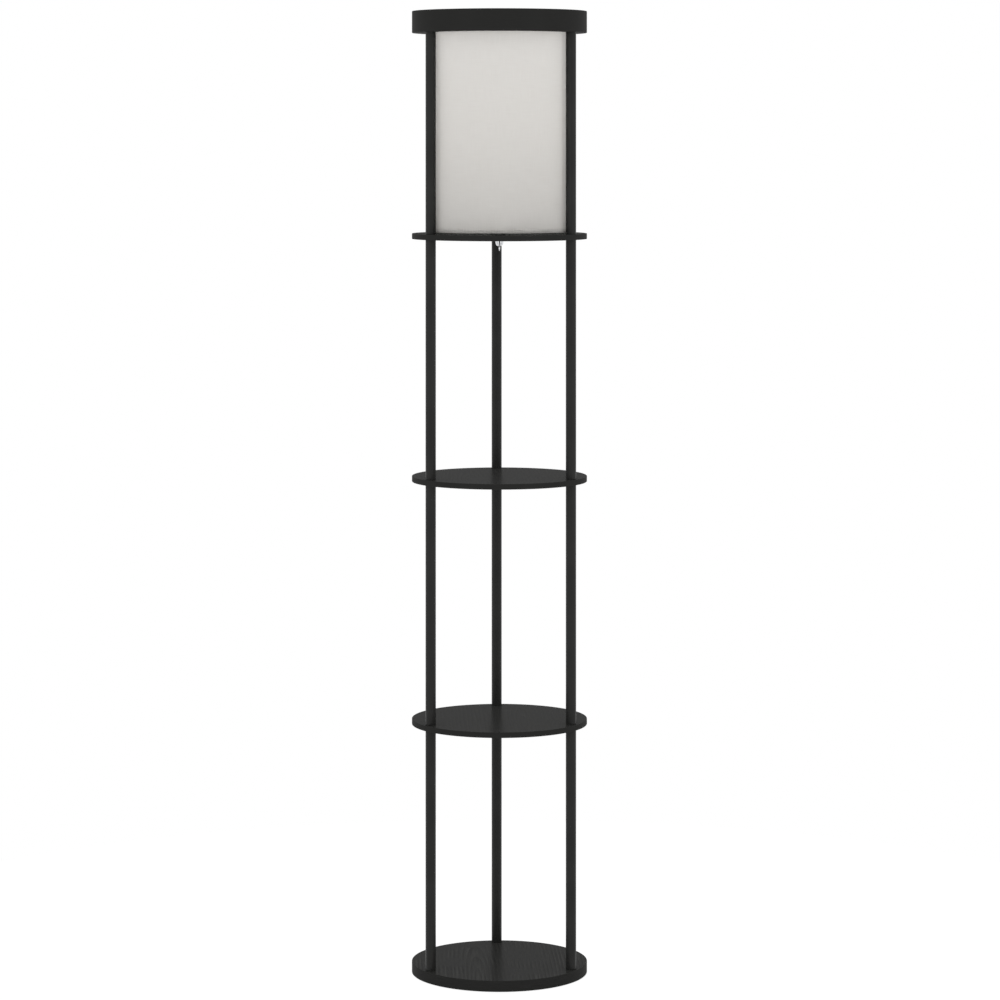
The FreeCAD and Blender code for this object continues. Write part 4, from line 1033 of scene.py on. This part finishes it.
def make_bulb_skirt():
    """The white collar of the bulb, which flares from its neck to the globe."""
    low, high = levels("bulb_collar")
    cap, rim = reach("bulb_screw_cap"), reach("bulb_collar")
    neck, neck_top, rim_ease = cap + 1.1 * MM, low + 7 * MM, 0.3 * MM
    flare = []
    for step in range(9):
        share = step / 8
        swell = share * share * (3 - 2 * share) * 0.35 + share * 0.65
        flare.append((neck + (rim - neck) * swell, neck_top + (high - rim_ease - neck_top) * share))
    inside = [(x - BULB_SKIN, z + BULB_SKIN * 0.4) for x, z in flare]
    inside[-1] = (rim - BULB_SKIN, high)
    dress(turned("bulb_skirt", [
        (cap - 2 * BULB_SKIN, low), (cap, low), (neck, low + BULB_SKIN), *flare, (rim - rim_ease, high),
        *reversed(inside), (neck - BULB_SKIN, low + 2 * BULB_SKIN),
        (cap - 2 * BULB_SKIN, low + BULB_SKIN)]), "bulb_collar")


def make_globe():
    """The opal globe: a thin shell, half round above and drawn in to the collar below."""
    low, high = levels("bulb_globe")
    collar, globe = reach("bulb_collar"), reach("bulb_globe")
    middle = high - globe
    lower = [(collar + (globe - collar) * sin(radians(angle)), low + (middle - low) * angle / 90)
             for angle in range(0, 81, 10)]
    upper = arc((0, middle), globe, 0, 90, 24)
    upper[-1] = (0, high)
    inside = arc((0, middle), globe - BULB_SKIN, 0, 90, 24)
    inside[-1] = (0, high - BULB_SKIN)
    dress(turned("opal_globe", [
        *reversed(inside), *[(x - BULB_SKIN, z) for x, z in reversed(lower)], *lower, *upper],
        closed=False), "bulb_globe")


def make_grommet():
    """A soft sleeve for the mains lead, with a rounded flange over and under the shelf."""
    low, high = levels("cord_grommet")
    bore, body, flange, flange_height, ease = 3.5 * MM, 6.0 * MM, 8.5 * MM, 1.8 * MM, 0.3 * MM
    roll = flange_height / 2
    grommet = turned("soft_grommet", [
        (bore + ease, low), *arc((flange - roll, low + roll), roll, -90, 60, 8), (body, LAMP_LOW),
        (body, LAMP_TOP), *arc((flange - roll, high - roll), roll, -60, 90, 8), (bore + ease, high),
        (bore, high - ease), (bore, low + ease)], steps=64)
    dress(copy_of(grommet, "cord_sleeve", (GROMMET_PLACE, 0, 0), 90), "cord_grommet")
    bpy.data.objects.remove(grommet)


def rounded_copy(name, node, width):
    """A copy of a small machined node with its sharp edges rounded."""
    pick(frame["nodes"][node])
    bpy.ops.object.duplicate()
    piece = bpy.context.object
    piece.name = name
    recalculate(piece)
    bpy.ops.object.mode_set(mode="EDIT")
    bpy.ops.mesh.select_all(action="SELECT")
    bpy.ops.mesh.dissolve_limited(angle_limit=radians(1))
    bpy.ops.object.mode_set(mode="OBJECT")
    return dress(soften(piece, width), node)


def make_eased_parts():
    """The lid of the switch, the nut of the rod and the bolts of the base, with their edges rounded."""
    rounded_copy("switch_cover", "switch_lid", 0.3 * MM)
    rounded_copy("lock_nut", "rod_nut", 0.25 * MM)
    rounded_copy("foot_bolts", "base_bolts", 0.3 * MM)


# ---------------------------------------------------------------- finishes of the nodes that stay

def dress_cad_nodes():
    """Every node gets its slot's finish, but for the neck of the switch, which is made near-black as
    painted shade, so that the slot of the bowl shows dark where it stands in shadow.
    """
    # Painted shade: the neck is darkened so that the bowl's slot reads as a shadowed line
    painted_shade_black = plain("neck_darkened_as_painted_shade", "#1d1c1b", 0.45, metallic=0.6, grain=0.6 * MM)
    for name, node in frame["nodes"].items():
        node.data.materials.clear()
        node.data.materials.append(painted_shade_black if name == "switch_neck" else MATERIALS[SLOT_OF[name]])


# ---------------------------------------------------------------- the whole lamp

make_studio()
dress_cad_nodes()
make_boards()
make_ring()
make_plugs()
make_posts()
make_pads()
make_shade()
make_shade_wires()
make_switch_case()
make_switch_bowl()
make_chain()
make_drop()
make_strap()
make_strap_screws()
make_holder_dome()
make_holder_barrel()
make_shade_clamp()
make_brass_shell()
make_nickel_cap()
make_bulb_skirt()
make_globe()
make_grommet()
make_eased_parts()
